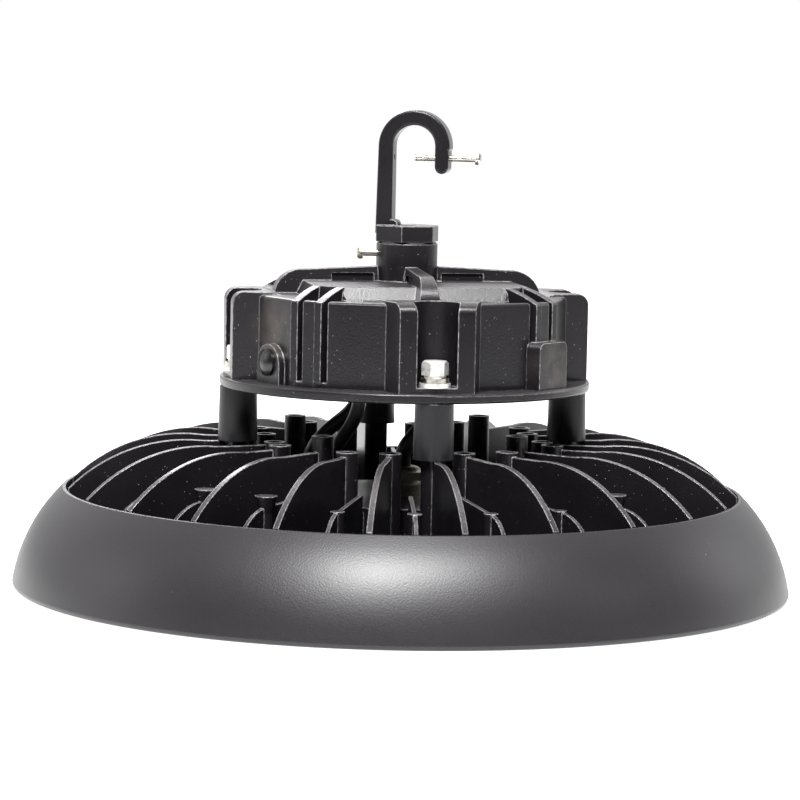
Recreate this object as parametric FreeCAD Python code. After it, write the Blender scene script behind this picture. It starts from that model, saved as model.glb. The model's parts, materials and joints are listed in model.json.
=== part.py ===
import FreeCAD, Part
import math
import os

from FreeCAD import Vector

# High bay light that hangs from a swivel hook. Millimetres, +Z up.
# The origin is the centre of the lower rim, on the plane that the rim stands on.
# Four legs on +X, -X, +Y and -Y carry the driver housing over the finned heat sink.

# Shade ring: a curved wall with a narrow flange inside, on which the heat sink sits.
RIM_RADIUS = 170.0
RIM_FILLET = 2.0
RING_HEIGHT = 42.5
RING_LEAN = 21.4
RING_ARC_RISE = 3.7
RING_WALL = 2.6
MOUTH_LIP = 1.5
FLANGE_THICKNESS = 2.8
FLANGE_WIDTH = 9.6

# Underside stack, from the rim plane up.
RETAINER_RECESS = 1.6
RETAINER_LIP = 2.0
RETAINER_EDGE_GAP = 8.0
LENS_THICKNESS = 2.0
LENS_LAP = 7.5
LENS_SEAT_GAP = 0.5
LENS_GASKET_THICKNESS = 1.0
WINDOW_MARGIN = 2.0
BOARD_MARGIN = 5.0
BOARD_THICKNESS = 1.6
CHIP_SIZE = 3.0
CHIP_HEIGHT = 0.7
CHIP_ROWS = 3
CHIP_ROW_COUNT = 12
CHIP_EDGE_GAP = 22.0
CHIP_ROW_PITCH = 30.0
RETAINER_SCREW_COUNT = 12
RING_SCREW_COUNT = 6
BOARD_SCREW_COUNT = 6

# Heat sink casting. Heights are above its flat underside.
SINK_FIT = 0.5
SINK_BASE = 5.0
FIN_COUNT = 24
FIN_THICKNESS = 2.4
FIN_END_GAP = 0.2
FIN_END_HEIGHT = 33.6
FIN_TOP_HEIGHT = 54.4
FIN_SHOULDER_RADIUS = 88.0
FIN_ARC_RISE = 7.1
LOW_WEB_HEIGHT = 28.6
PEDESTAL_RADIUS = 51.0
PEDESTAL_HEIGHT = 30.6
PEDESTAL_ROOF = 5.0
POCKET_RADIUS = 47.5
POST_RADIUS = 4.75
POST_DISH_RADIUS = 3.2
POST_DISH_DEPTH = 2.5
BOSS_RADIUS = 5.2
BOSS_HEIGHT = 54.6
# Posts between two legs: the ones next to the legs, the middle one, and the ones between those.
NEAR_POST_CIRCLE = 61.0
NEAR_POST_HEIGHT = 55.6
BETWEEN_POST_CIRCLE = 68.4
BETWEEN_POST_HEIGHT = 56.2
MIDDLE_POST_CIRCLE = 59.4
MIDDLE_POST_HEIGHT = 61.0
SHORT_FIN_THICKNESS = 1.6
SHORT_FIN_LENGTH = 62.0
SHORT_FIN_END_GAP = 5.6
SHORT_FIN_START_HEIGHT = 39.9
SHORT_FIN_STUD_HEIGHT = 37.7
SHORT_FIN_END_HEIGHT = 26.6
SHORT_FIN_ARC_RISE = 3.0
STUD_INSET = 26.6
STUD_RADIUS = 3.0
STUD_HEIGHT = 38.1
TALL_STUD_HEIGHT = 42.5
TALL_STUD_HEAD_RADIUS = 4.6
TALL_STUD_TAPER = 7.0

# Legs: a spacer tube on each boss, a base plate on the spacers, one bolt through all of them.
LEG_CIRCLE = 73.1
LEG_LENGTH = 23.8
LEG_TOP_RADIUS = 8.15
LEG_FOOT_RADIUS = 8.6
BASE_PLATE_RADIUS = 80.8
BASE_PLATE_THICKNESS = 4.0
BASE_PLATE_EDGE = 0.8
BOLT_RADIUS = 3.0
BOLT_HOLE_RADIUS = 3.3
BOLT_HEAD_FLATS = 10.0
BOLT_HEAD_HEIGHT = 6.0
BOLT_CROWN_RADIUS = 4.7
BOLT_COLLAR_RADIUS = 4.6
BOLT_COLLAR = 1.2
BOLT_GRIP_BELOW = 18.0
BOLT_HOLE_SPARE = 2.0
FLAT_WASHER_RADIUS = 6.7
FLAT_WASHER = 1.8
SPRING_WASHER_RADIUS = 6.0
SPRING_WASHER = 2.1
SPRING_WASHER_SPLIT = 1.2

# Driver housing casting. Heights are above its flat underside.
HOUSING_APOTHEM = 69.6
HOUSING_CORNER = 73.4
HOUSING_HEIGHT = 36.7
HOUSING_WALL = 2.8
HOUSING_EDGE = 1.5
LUG_FLOOR = 2.5
LUG_REACH = 78.0
LUG_HALF_WIDTH = 16.0
LUG_ROOT_HALF_WIDTH = 20.4
LUG_FLARE = 12.0
LUG_HEIGHT = 37.9
LUG_CREST = 16.4
LUG_FALL = 3.0
LUG_CORNER = 5.0
LUG_RECESS_RADIUS = 9.8
PLATEAU_HEIGHT = 42.2
PLATEAU_APOTHEM = 46.0
PLATEAU_FOOT = 49.5
PLATEAU_CORNER = 58.0
PLATEAU_CORNER_FOOT = 58.8
HUB_RADIUS = 13.4
HUB_HEIGHT = 59.1
HUB_EDGE = 0.7
RIB_START_HEIGHT = 49.2
RIB_SHOULDER_RADIUS = 45.6
RIB_SHOULDER_HEIGHT = 47.0
RIB_END_RADIUS = 58.7
RIB_ARC_RISE = 3.3
RIB_TOP_WIDTH = 5.0
RIB_ROOT_WIDTH = 9.6
RIB_SLOT_START = 15.0
RIB_SLOT_END = 33.5
RIB_SLOT_HEIGHT = 3.3
CAVITY_HALF_WIDTH = 43.0
CAVITY_CORNER = 55.0
CAVITY_ROOF = 4.0
# Corner fins, along the diagonal and across it; positive is towards the front or back leg.
FIN_A = (-7.6, -4.0)
FIN_B = (4.8, 8.3)
CORNER_SLOT_A = 1.8
CORNER_SLOT_B = 2.8
CORNER_POCKET_START = 59.0
CORNER_FIN_END_HEIGHT = 35.2
CORNER_FIN_NOSE = 1.2
CORNER_FIN_ROOT_HEIGHT = 42.0
CORNER_FIN_ARC_RISE = 0.5
SIDE_POCKET_START = 27.0
SIDE_POCKET_INNER = 49.0
SIDE_POCKET_CORNER = 34.4

# Pads on the housing wall and the rubber plug in one of them.
PLUG_WALL_ANGLE = 202.5
PLUG_PAD_OFFSET = 5.8
PLUG_PAD_RADIUS = 9.2
PLUG_PAD_DEPTH = 3.0
PLUG_PAD_HEIGHT = 7.7
PLUG_HEIGHT = 9.1
PLUG_RADIUS = 5.8
PLUG_STEM_RADIUS = 3.5
PLUG_STEM_LENGTH = 7.0
PLUG_HOLE_SPARE = 1.0
PLUG_RISE = 1.9
PLUG_RIM = 1.1
SIDE_PAD_ANGLE = -45.0
SIDE_PAD_REACH = 78.0
SIDE_PAD_SPAN = (-12.0, 9.0)
SIDE_PAD_HEIGHT = 20.0
SIDE_PAD_CORNER = 3.5
SIDE_PAD_DEPTH = 7.0

# Seal and driver parts inside the housing.
SEAL_INNER_RADIUS = 57.5
SEAL_WIDTH = 3.5
SEAL_THICKNESS = 1.0
BASE_SCREW_CIRCLE = 65.0
BASE_SCREW_ANGLE = 22.5
BASE_SCREW_RADIUS = 1.5
BASE_SCREW_HEAD_RADIUS = 2.9
BASE_SCREW_HEAD = 2.2
BASE_SCREW_LENGTH = 13.0
PEG_HEIGHT = 5.2
PEG_RADIUS = 3.0
PEG_SPACING_X = 70.0
PEG_SPACING_Y = 54.0
DRIVER_BOARD_X = 80.0
DRIVER_BOARD_Y = 64.0
DRIVER_BOARD_THICKNESS = 1.6
CORE_X = 30.0
CORE_Y = 26.0
CORE_HEIGHT = 22.0
CORE_YOKE = 5.0
CORE_SIDE = 1.0
COIL_GAP = 1.5
TRANSFORMER_PLACE = 18.0
CAPACITOR_RADIUS = 7.0
CAPACITOR_HEIGHT = 21.0
CAPACITOR_EDGE = 0.8
CAPACITOR_GAP = 2.0
CAPACITOR_PLACE = 24.0

# Swivel hook: a hexagonal foot on the hub and a flat-sided hook above it.
HOOK_TURN = -19.6
HOOK_RUNNING_GAP = 0.3
HOOK_FOOT_FLATS = 25.0
HOOK_FOOT_HEIGHT = 6.9
HOOK_THICKNESS = 10.5
HOOK_SHANK_FOOT = -13.4
HOOK_BEND_CENTRE = 3.05
HOOK_BEND_OUTER = 15.65
HOOK_SECTION = 6.45
HOOK_BEND_HEIGHT = 41.3
HOOK_ARM_LENGTH = 11.9
HOOK_ARM_FACING = 0.5
HOOK_ARM_STEP = 1.0
HOOK_EDGE = 0.9
HOOK_EDGE_START = 1.0
HOOK_FOOT_FILLET = 2.5
PIVOT_RADIUS = 2.5
PIVOT_CLEARANCE = 0.05
PIVOT_HEAD_RADIUS = 4.0
PIVOT_HEAD_HEIGHT = 3.4
PIVOT_HEAD_GAP = 0.3
PIVOT_HEAD_INSET = 0.7
PIVOT_COUNTERBORE = 4.5
PIVOT_DEPTH = 15.0
PIVOT_SOCKET_FLATS = 4.0
PIVOT_SOCKET_DEPTH = 2.0
GATE_RADIUS = 1.45
GATE_CLEARANCE = 0.05
GATE_HEAD_RADIUS = 2.7
GATE_HEAD = 2.3
GATE_DROP = 4.9
GATE_HEAD_AT = 29.5
GATE_LENGTH = 26.5
LOCK_LEVEL = 4.9
LOCK_BACKED_OUT = 6.35
LOCK_TIP_GAP = 0.3

# Leads, glands and grommets between the driver and the heat sink.
LAMP_LEAD_RADIUS = 3.5
SUPPLY_LEAD_RADIUS = 3.0
WIRE_HOLE_RADIUS = 2.2
GLAND_BORE_GAP = 0.1
DRIVER_GLAND_HEIGHT = 3.6
DRIVER_GLAND_WALL = 2.0
GROMMET_HEIGHT = 2.6
GROMMET_WALL = 2.2
SINK_GLAND_COLLAR = 9.5
SINK_GLAND_COLLAR_HEIGHT = 5.0
SINK_GLAND_NECK = 6.6
SINK_GLAND_BODY_HEIGHT = 11.5
SINK_GLAND_THREAD = 5.5
SINK_GLAND_THREAD_LENGTH = 8.0
SINK_GLAND_THREAD_GAP = 0.1
SINK_NUT_HEIGHT = 7.2
SINK_NUT_LENGTH = 5.5
SINK_NUT_HEX = 3.1
SINK_NUT_FLATS = 18.0
SINK_NUT_CROWN_RADIUS = 8.4
SINK_NUT_ARC_RISE = 0.5
SINK_NUT_MOUTH = 5.4

# Screws with a low round head, and what is left round and beyond them.
SMALL_SCREW_RADIUS = 1.5
SMALL_HEAD_RADIUS = 2.8
SMALL_HEAD_HEIGHT = 1.4
SCREW_HOLE_GAP = 0.1
SCREW_END_GAP = 0.5
BLIND_SKIN = 0.5

# How far a form reaches into the one that it is fused with or cut from.
LAP = 1.0

# Heights of the stack, worked out from the thicknesses above.
Z_LENS = RETAINER_RECESS + RETAINER_LIP
Z_LENS_GASKET = Z_LENS + LENS_THICKNESS
Z_FLANGE = Z_LENS_GASKET + LENS_GASKET_THICKNESS
Z_SINK = Z_FLANGE + FLANGE_THICKNESS
Z_PEDESTAL = Z_SINK + PEDESTAL_HEIGHT
Z_LEG = Z_SINK + BOSS_HEIGHT
Z_BASE_PLATE = Z_LEG + LEG_LENGTH
Z_HOUSING = Z_BASE_PLATE + BASE_PLATE_THICKNESS
Z_LUG = Z_HOUSING + LUG_FLOOR
Z_BOLT_COLLAR = Z_LUG + FLAT_WASHER + SPRING_WASHER
Z_HUB = Z_HOUSING + HUB_HEIGHT
Z_HOOK = Z_HUB + HOOK_RUNNING_GAP
Z_HOOK_FOOT_TOP = Z_HOOK + HOOK_FOOT_HEIGHT
Z_HOOK_BEND = Z_HOOK + HOOK_BEND_HEIGHT
Z_GATE = Z_HOOK_BEND - GATE_DROP
Z_PIVOT_HEAD = Z_HOOK_FOOT_TOP - PIVOT_HEAD_HEIGHT - PIVOT_HEAD_INSET
Z_LOCK = Z_HUB - LOCK_LEVEL
Z_DRIVER_BOARD = Z_HOUSING + PEG_HEIGHT
Z_SCREW_HOLE_END = Z_SINK + SINK_BASE - BLIND_SKIN
Z_SCREW_END = Z_SCREW_HOLE_END - SCREW_END_GAP

# Radii from the rim inwards.
RING_TOP_RADIUS = RIM_RADIUS - RING_LEAN
RING_MOUTH_RADIUS = RING_TOP_RADIUS - MOUTH_LIP
SINK_RADIUS = RING_MOUTH_RADIUS - SINK_FIT
FLANGE_RADIUS = SINK_RADIUS - FLANGE_WIDTH
LENS_WINDOW_RADIUS = FLANGE_RADIUS + WINDOW_MARGIN
LENS_RADIUS = LENS_WINDOW_RADIUS + LENS_LAP
RETAINER_SEAT_RADIUS = LENS_RADIUS + LENS_SEAT_GAP
RETAINER_RADIUS = RIM_RADIUS - RETAINER_EDGE_GAP
RETAINER_SCREW_CIRCLE = (RETAINER_SEAT_RADIUS + RETAINER_RADIUS) / 2
RING_SCREW_CIRCLE = (LENS_WINDOW_RADIUS + SINK_RADIUS) / 2
BOARD_RADIUS = FLANGE_RADIUS - BOARD_MARGIN
CHIP_CIRCLE = BOARD_RADIUS - CHIP_EDGE_GAP
BOARD_SCREW_CIRCLE = CHIP_CIRCLE - CHIP_ROW_PITCH / 2
STUD_CIRCLE = SINK_RADIUS - STUD_INSET
SHORT_FIN_END = SINK_RADIUS - SHORT_FIN_END_GAP
SHORT_FIN_START = SHORT_FIN_END - SHORT_FIN_LENGTH
SEAL_RADIUS = SEAL_INNER_RADIUS + SEAL_WIDTH
PLUG_PAD_FACE = HOUSING_APOTHEM + PLUG_PAD_DEPTH

FIN_PITCH = 360.0 / FIN_COUNT
FINS_PER_QUARTER = FIN_COUNT // 4

ORIGIN = Vector(0, 0, 0)
X_AXIS = Vector(1, 0, 0)
Y_AXIS = Vector(0, 1, 0)
Z_AXIS = Vector(0, 0, 1)
LEG_ANGLES = {"right": 0.0, "back": 90.0, "left": 180.0, "front": 270.0}
BEND_SHARE = 0.45

# Centre lines of the leads, from the driver down. The last place is on the heat sink.
LAMP_LEAD_ROUTE = [
    (15.0, 1.4, Z_BASE_PLATE), (15.0, 1.4, 80.4), (12.0, 1.2, 73.2),
    (5.0, 0.4, 66.0), (0.0, 0.0, 59.3), (0.0, 0.0, Z_PEDESTAL + SINK_GLAND_BODY_HEIGHT),
]
SUPPLY_LEAD_ROUTES = {
    "lead_near": [
        (-18.8, 8.4, Z_BASE_PLATE), (-18.8, 8.4, 80.6), (-23.4, 8.6, 73.6), (-31.4, 9.4, 68.2),
        (-37.8, 9.7, 61.2), (-41.0, 9.9, 52.8), (-41.6, 9.5, 46.4), (-41.6, 9.5, Z_PEDESTAL),
    ],
    "lead_far": [
        (-16.2, 21.0, Z_BASE_PLATE), (-16.2, 21.0, 80.2), (-21.0, 21.9, 73.4), (-28.6, 22.6, 67.4),
        (-34.8, 22.8, 60.2), (-37.9, 22.3, 52.0), (-38.6, 21.6, 46.2), (-38.6, 21.6, Z_PEDESTAL),
    ],
    "lead_inner": [
        (-20.2, -3.0, Z_BASE_PLATE), (-20.2, -3.0, 80.0), (-22.8, -2.8, 72.0), (-27.8, -2.4, 64.5),
        (-32.2, -1.8, 57.0), (-34.0, -1.5, 48.6), (-34.0, -1.5, Z_PEDESTAL),
    ],
}


def bulge(start, end, rise):
    """Middle of an arc from start to end that stands `rise` off its chord, on its right."""
    run_u = end[0] - start[0]
    run_v = end[1] - start[1]
    length = math.hypot(run_u, run_v)
    middle_u = (start[0] + end[0]) / 2 + rise * run_v / length
    middle_v = (start[1] + end[1]) / 2 - rise * run_u / length
    return middle_u, middle_v


def quarter_rise(radius):
    """How far a quarter circle stands off its chord."""
    return radius * (1 - math.sqrt(0.5))


def in_section(u, v):
    """Point in the plane through the axis and +X: distance from the axis, height."""
    return Vector(u, 0, v)


def in_plan(u, v):
    """Point in the level plane through the origin."""
    return Vector(u, v, 0)


def in_front(u, v):
    """Point in the upright plane through +Y: sideways, height."""
    return Vector(0, u, v)


def outline(place, steps):
    """Face inside a closed line. A step (u, v) is straight, (u, v, rise) an arc to (u, v)."""
    edges = []
    start = steps[0][:2]
    for step in steps[1:] + [start]:
        end = step[:2]
        if len(step) == 3:
            middle = bulge(start, end, step[2])
            edges.append(Part.Arc(place(*start), place(*middle), place(*end)).toShape())
        else:
            edges.append(Part.makeLine(place(*start), place(*end)))
        start = end
    return Part.Face(Part.Wire(edges))


def revolved(steps):
    """Solid turned about the axis from a section outline."""
    return outline(in_section, steps).revolve(ORIGIN, Z_AXIS, 360)


def prism(steps, bottom, top):
    """Upright solid over a plan outline."""
    face = outline(in_plan, steps)
    face.translate(Vector(0, 0, bottom))
    return face.extrude(Vector(0, 0, top - bottom))


def slab(steps, low, high):
    """Flat-sided solid between two distances across, with a section outline."""
    face = outline(in_section, steps)
    face.translate(Vector(0, low, 0))
    return face.extrude(Vector(0, high - low, 0))


def cylinder(radius, bottom, top, x=0.0, y=0.0):
    """Upright cylinder."""
    return Part.makeCylinder(radius, top - bottom, Vector(x, y, bottom))


def ring(outer, inner, bottom, top, x=0.0, y=0.0):
    """Upright tube."""
    return cylinder(outer, bottom, top, x, y).cut(cylinder(inner, bottom, top, x, y))


def regular(count, apothem, first_angle):
    """Corners of a regular polygon with its first corner at an angle."""
    radius = apothem / math.cos(math.pi / count)
    corners = []
    for index in range(count):
        angle = math.radians(first_angle + 360.0 * index / count)
        corners.append((radius * math.cos(angle), radius * math.sin(angle)))
    return corners


def trimmed_square(half_width, corner):
    """Square with its corners cut off at a distance along the diagonals."""
    end = corner * math.sqrt(2) - half_width
    pair = [(half_width, end), (end, half_width)]
    points = list(pair)
    for _ in range(3):
        pair = [(-y, x) for x, y in pair]
        points += pair
    return points


def turned(shape, angle, axis=Z_AXIS, centre=ORIGIN):
    """Copy of a shape turned about an axis."""
    copy = shape.copy()
    copy.rotate(centre, axis, angle)
    return copy


def moved(shape, x, y, z=0.0):
    """Copy of a shape at another place."""
    copy = shape.copy()
    copy.translate(Vector(x, y, z))
    return copy


def around(shape, angles):
    """Copies of a shape at each angle about the axis."""
    return [turned(shape, angle) for angle in angles]


def evenly(count, first=0.0):
    """Angles of a number of places spread evenly about the axis."""
    return [first + 360.0 * index / count for index in range(count)]


def polar(radius, angle):
    """Plan place at a radius and an angle."""
    return radius * math.cos(math.radians(angle)), radius * math.sin(math.radians(angle))


def fused(shapes):
    """One solid from overlapping shapes."""
    return shapes[0].multiFuse(shapes[1:]).removeSplitter()


def without(shape, tools):
    """Shape with each tool cut out of it."""
    return shape.cut(Part.makeCompound(tools))


def top_edges(solid, height):
    """Straight edges of a solid that lie at one height."""
    return [edge for edge in solid.Edges
            if all(abs(vertex.Z - height) < 1e-6 for vertex in edge.Vertexes)]


def round_screw(radius, length, head_radius, head_height):
    """Screw that points down from the origin, with a low round head above it."""
    shank = cylinder(radius, -length, 0)
    edge = head_height / 3
    head = revolved([
        (0, 0), (head_radius, 0), (head_radius, head_height - edge),
        (head_radius - edge, head_height), (0, head_height),
    ])
    return fused([shank, head])


def upward_screws(radius, length, circle, angles, seat):
    """Screws driven up from below, with their heads under a seat."""
    screw = turned(round_screw(radius, length, SMALL_HEAD_RADIUS, SMALL_HEAD_HEIGHT), 180, X_AXIS)
    placed = []
    for angle in angles:
        x, y = polar(circle, angle)
        placed.append(moved(screw, x, y, seat))
    return placed


def screw_holes(circle, angles, bottom, top):
    """Holes for the small screws."""
    holes = []
    for angle in angles:
        x, y = polar(circle, angle)
        holes.append(cylinder(SMALL_SCREW_RADIUS + SCREW_HOLE_GAP, bottom, top, x, y))
    return holes


def ring_arc():
    """Centre and radius of the arc of the ring's outer wall, in section."""
    start = (RIM_RADIUS, RIM_FILLET)
    end = (RING_TOP_RADIUS, RING_HEIGHT)
    half_chord = math.hypot(end[0] - start[0], end[1] - start[1]) / 2
    radius = (half_chord ** 2 + RING_ARC_RISE ** 2) / (2 * RING_ARC_RISE)
    middle = bulge(start, end, RING_ARC_RISE - radius)
    return middle, radius


def outer_ring():
    """Curved shade ring with its inner flange and the holes of its screws."""
    centre, radius = ring_arc()
    inner = radius - RING_WALL

    def wall_radius(height):
        return centre[0] + math.sqrt(inner ** 2 - (height - centre[1]) ** 2)

    mouth = centre[1] + math.sqrt(inner ** 2 - (RING_MOUTH_RADIUS - centre[0]) ** 2)
    flange_wall = wall_radius(Z_SINK)
    chord = math.hypot(flange_wall - RING_MOUTH_RADIUS, mouth - Z_SINK)
    inner_rise = inner - math.sqrt(inner ** 2 - (chord / 2) ** 2)
    low_wall = wall_radius(Z_FLANGE)
    body = revolved([
        (low_wall, 0), (RIM_RADIUS - RIM_FILLET, 0), (RIM_RADIUS, RIM_FILLET, quarter_rise(RIM_FILLET)),
        (RING_TOP_RADIUS, RING_HEIGHT, RING_ARC_RISE), (RING_MOUTH_RADIUS, RING_HEIGHT),
        (RING_MOUTH_RADIUS, mouth), (flange_wall, Z_SINK, -inner_rise),
        (FLANGE_RADIUS, Z_SINK), (FLANGE_RADIUS, Z_FLANGE), (low_wall, Z_FLANGE),
    ])
    holes = screw_holes(RETAINER_SCREW_CIRCLE, evenly(RETAINER_SCREW_COUNT), Z_FLANGE, Z_SINK)
    holes += screw_holes(RING_SCREW_CIRCLE, ring_screw_angles(), Z_FLANGE, Z_SINK)
    return without(body, holes + ring_countersinks())


def ring_screw_angles():
    """Places of the screws between ring and heat sink, clear of the retainer's screws."""
    return evenly(RING_SCREW_COUNT, 180.0 / RING_SCREW_COUNT)


def ring_screws():
    """Countersunk screws that hold the heat sink on the ring's flange."""
    screw = fused([
        cylinder(SMALL_SCREW_RADIUS, Z_FLANGE, Z_SCREW_END),
        Part.makeCone(SMALL_HEAD_RADIUS, SMALL_SCREW_RADIUS, SMALL_HEAD_HEIGHT, Vector(0, 0, Z_FLANGE)),
    ])
    screws = [moved(screw, *polar(RING_SCREW_CIRCLE, angle)) for angle in ring_screw_angles()]
    return Part.makeCompound(screws)


def ring_countersinks():
    """Cones cut in the flange for the heads of the ring screws."""
    cone = Part.makeCone(
        SMALL_HEAD_RADIUS + SCREW_HOLE_GAP, SMALL_SCREW_RADIUS + SCREW_HOLE_GAP,
        SMALL_HEAD_HEIGHT, Vector(0, 0, Z_FLANGE),
    )
    return [moved(cone, *polar(RING_SCREW_CIRCLE, angle)) for angle in ring_screw_angles()]


def lens_retainer():
    """Flat ring that clamps the lens, with a step up to the flange."""
    body = revolved([
        (LENS_WINDOW_RADIUS, RETAINER_RECESS), (RETAINER_RADIUS, RETAINER_RECESS),
        (RETAINER_RADIUS, Z_FLANGE), (RETAINER_SEAT_RADIUS, Z_FLANGE),
        (RETAINER_SEAT_RADIUS, Z_LENS), (LENS_WINDOW_RADIUS, Z_LENS),
    ])
    holes = screw_holes(
        RETAINER_SCREW_CIRCLE, evenly(RETAINER_SCREW_COUNT), RETAINER_RECESS, Z_FLANGE)
    return without(body, holes)


def retainer_screws():
    """Screws that hold the retainer to the flange from below."""
    length = Z_SINK - RETAINER_RECESS
    return Part.makeCompound(upward_screws(
        SMALL_SCREW_RADIUS, length, RETAINER_SCREW_CIRCLE, evenly(RETAINER_SCREW_COUNT),
        RETAINER_RECESS))


def lens():
    """Clear flat cover under the light sources."""
    return cylinder(LENS_RADIUS, Z_LENS, Z_LENS_GASKET)


def lens_gasket():
    """Flat seal between lens and flange."""
    return ring(LENS_RADIUS, LENS_WINDOW_RADIUS, Z_LENS_GASKET, Z_FLANGE)


def led_board():
    """Round metal board that carries the light sources."""
    board = cylinder(BOARD_RADIUS, Z_SINK - BOARD_THICKNESS, Z_SINK)
    holes = screw_holes(
        BOARD_SCREW_CIRCLE, evenly(BOARD_SCREW_COUNT), Z_SINK - BOARD_THICKNESS, Z_SINK)
    return without(board, holes)


def board_screws():
    """Screws that press the board against the heat sink."""
    seat = Z_SINK - BOARD_THICKNESS
    return Part.makeCompound(upward_screws(
        SMALL_SCREW_RADIUS, Z_SCREW_END - seat, BOARD_SCREW_CIRCLE, evenly(BOARD_SCREW_COUNT), seat))


def led_chips():
    """Square light sources in round rows under the board."""
    top = Z_SINK - BOARD_THICKNESS
    half = CHIP_SIZE / 2
    square = [(half, half), (-half, half), (-half, -half), (half, -half)]
    chip = prism(square, top - CHIP_HEIGHT, top)
    chips = []
    for row in range(CHIP_ROWS):
        count = CHIP_ROW_COUNT * (CHIP_ROWS - row)
        circle = CHIP_CIRCLE - CHIP_ROW_PITCH * row
        chips += around(moved(chip, circle, 0), evenly(count, 180.0 / count))
    return Part.makeCompound(chips)


def main_fin(inner_radius):
    """Tall fin on +X, from a post out to the rim, with a low web in to the pedestal."""
    foot = Z_SINK + SINK_BASE / 2
    end = SINK_RADIUS - FIN_END_GAP
    return slab([
        (PEDESTAL_RADIUS - LAP, foot), (end, foot), (end, Z_SINK + FIN_END_HEIGHT),
        (FIN_SHOULDER_RADIUS, Z_SINK + FIN_TOP_HEIGHT, FIN_ARC_RISE),
        (inner_radius, Z_SINK + FIN_TOP_HEIGHT), (inner_radius, Z_SINK + LOW_WEB_HEIGHT),
        (PEDESTAL_RADIUS - LAP, Z_SINK + LOW_WEB_HEIGHT),
    ], -FIN_THICKNESS / 2, FIN_THICKNESS / 2)


def short_fin():
    """Low fin on +X, midway between two tall ones, which falls away outside its stud."""
    foot = Z_SINK + SINK_BASE / 2
    return slab([
        (SHORT_FIN_START, foot), (SHORT_FIN_END, foot), (SHORT_FIN_END, Z_SINK + SHORT_FIN_END_HEIGHT),
        (STUD_CIRCLE, Z_SINK + SHORT_FIN_STUD_HEIGHT, SHORT_FIN_ARC_RISE),
        (SHORT_FIN_START, Z_SINK + SHORT_FIN_START_HEIGHT),
    ], -SHORT_FIN_THICKNESS / 2, SHORT_FIN_THICKNESS / 2)


def post(radius_out, height):
    """Round post on +X with a dished top, standing in the base plate."""
    top = Z_SINK + height
    return cylinder(POST_RADIUS, Z_SINK + SINK_BASE / 2, top, radius_out).cut(
        cylinder(POST_DISH_RADIUS, top - POST_DISH_DEPTH, top, radius_out))


def stud(tall):
    """Small round stud on +X that stands on a short fin; a tall one flares towards its top."""
    foot = Z_SINK + SINK_BASE / 2
    if not tall:
        return cylinder(STUD_RADIUS, foot, Z_SINK + STUD_HEIGHT, STUD_CIRCLE)
    neck = Z_SINK + TALL_STUD_HEIGHT - TALL_STUD_TAPER
    flare = Part.makeCone(
        STUD_RADIUS, TALL_STUD_HEAD_RADIUS, TALL_STUD_TAPER, Vector(STUD_CIRCLE, 0, neck))
    return fused([cylinder(STUD_RADIUS, foot, neck, STUD_CIRCLE), flare])


def lead_ends():
    """Places on the heat sink where the supply leads go in."""
    return [route[-1][:2] for route in SUPPLY_LEAD_ROUTES.values()]


def post_place(index):
    """Distance from the axis and height of a post, by its place between two legs."""
    if index in (1, FINS_PER_QUARTER - 1):
        return NEAR_POST_CIRCLE, NEAR_POST_HEIGHT
    if 2 * index == FINS_PER_QUARTER:
        return MIDDLE_POST_CIRCLE, MIDDLE_POST_HEIGHT
    return BETWEEN_POST_CIRCLE, BETWEEN_POST_HEIGHT


def heat_sink():
    """Cast base plate, pedestal, fins, posts and leg bosses in one piece."""
    foot = Z_SINK + SINK_BASE / 2
    pieces = [
        cylinder(SINK_RADIUS, Z_SINK, Z_SINK + SINK_BASE),
        cylinder(PEDESTAL_RADIUS, foot, Z_PEDESTAL),
    ]
    for leg in LEG_ANGLES.values():
        pieces.append(turned(main_fin(LEG_CIRCLE), leg))
        pieces.append(turned(cylinder(BOSS_RADIUS, foot, Z_LEG, LEG_CIRCLE), leg))
        for index in range(1, FINS_PER_QUARTER):
            radius_out, height = post_place(index)
            angle = leg + index * FIN_PITCH
            pieces += [turned(main_fin(radius_out), angle), turned(post(radius_out, height), angle)]
        for index in range(FINS_PER_QUARTER):
            tall = FINS_PER_QUARTER - 2 <= 2 * index <= FINS_PER_QUARTER
            angle = leg + (index + 0.5) * FIN_PITCH
            pieces += [turned(short_fin(), angle), turned(stud(tall), angle)]
    body = fused(pieces)
    tools = [cylinder(POCKET_RADIUS, Z_SINK, Z_PEDESTAL - PEDESTAL_ROOF)]
    roof = (Z_PEDESTAL - PEDESTAL_ROOF, Z_PEDESTAL)
    tools.append(cylinder(SINK_GLAND_THREAD + SINK_GLAND_THREAD_GAP, *roof))
    tools += [cylinder(WIRE_HOLE_RADIUS, *roof, x, y) for x, y in lead_ends()]
    for angle in LEG_ANGLES.values():
        x, y = polar(LEG_CIRCLE, angle)
        hole_end = Z_LEG - BOLT_GRIP_BELOW - BOLT_HOLE_SPARE
        tools.append(cylinder(BOLT_RADIUS + SCREW_HOLE_GAP, hole_end, Z_LEG, x, y))
    tools += screw_holes(BOARD_SCREW_CIRCLE, evenly(BOARD_SCREW_COUNT), Z_SINK, Z_SCREW_HOLE_END)
    tools += screw_holes(RING_SCREW_CIRCLE, ring_screw_angles(), Z_SINK, Z_SCREW_HOLE_END)
    return without(body, tools)


def standoff():
    """Slightly tapered spacer tube of the leg on +X."""
    body = Part.makeCone(LEG_FOOT_RADIUS, LEG_TOP_RADIUS, LEG_LENGTH, Vector(LEG_CIRCLE, 0, Z_LEG))
    return body.cut(cylinder(BOLT_HOLE_RADIUS, Z_LEG, Z_BASE_PLATE, LEG_CIRCLE))


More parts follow.
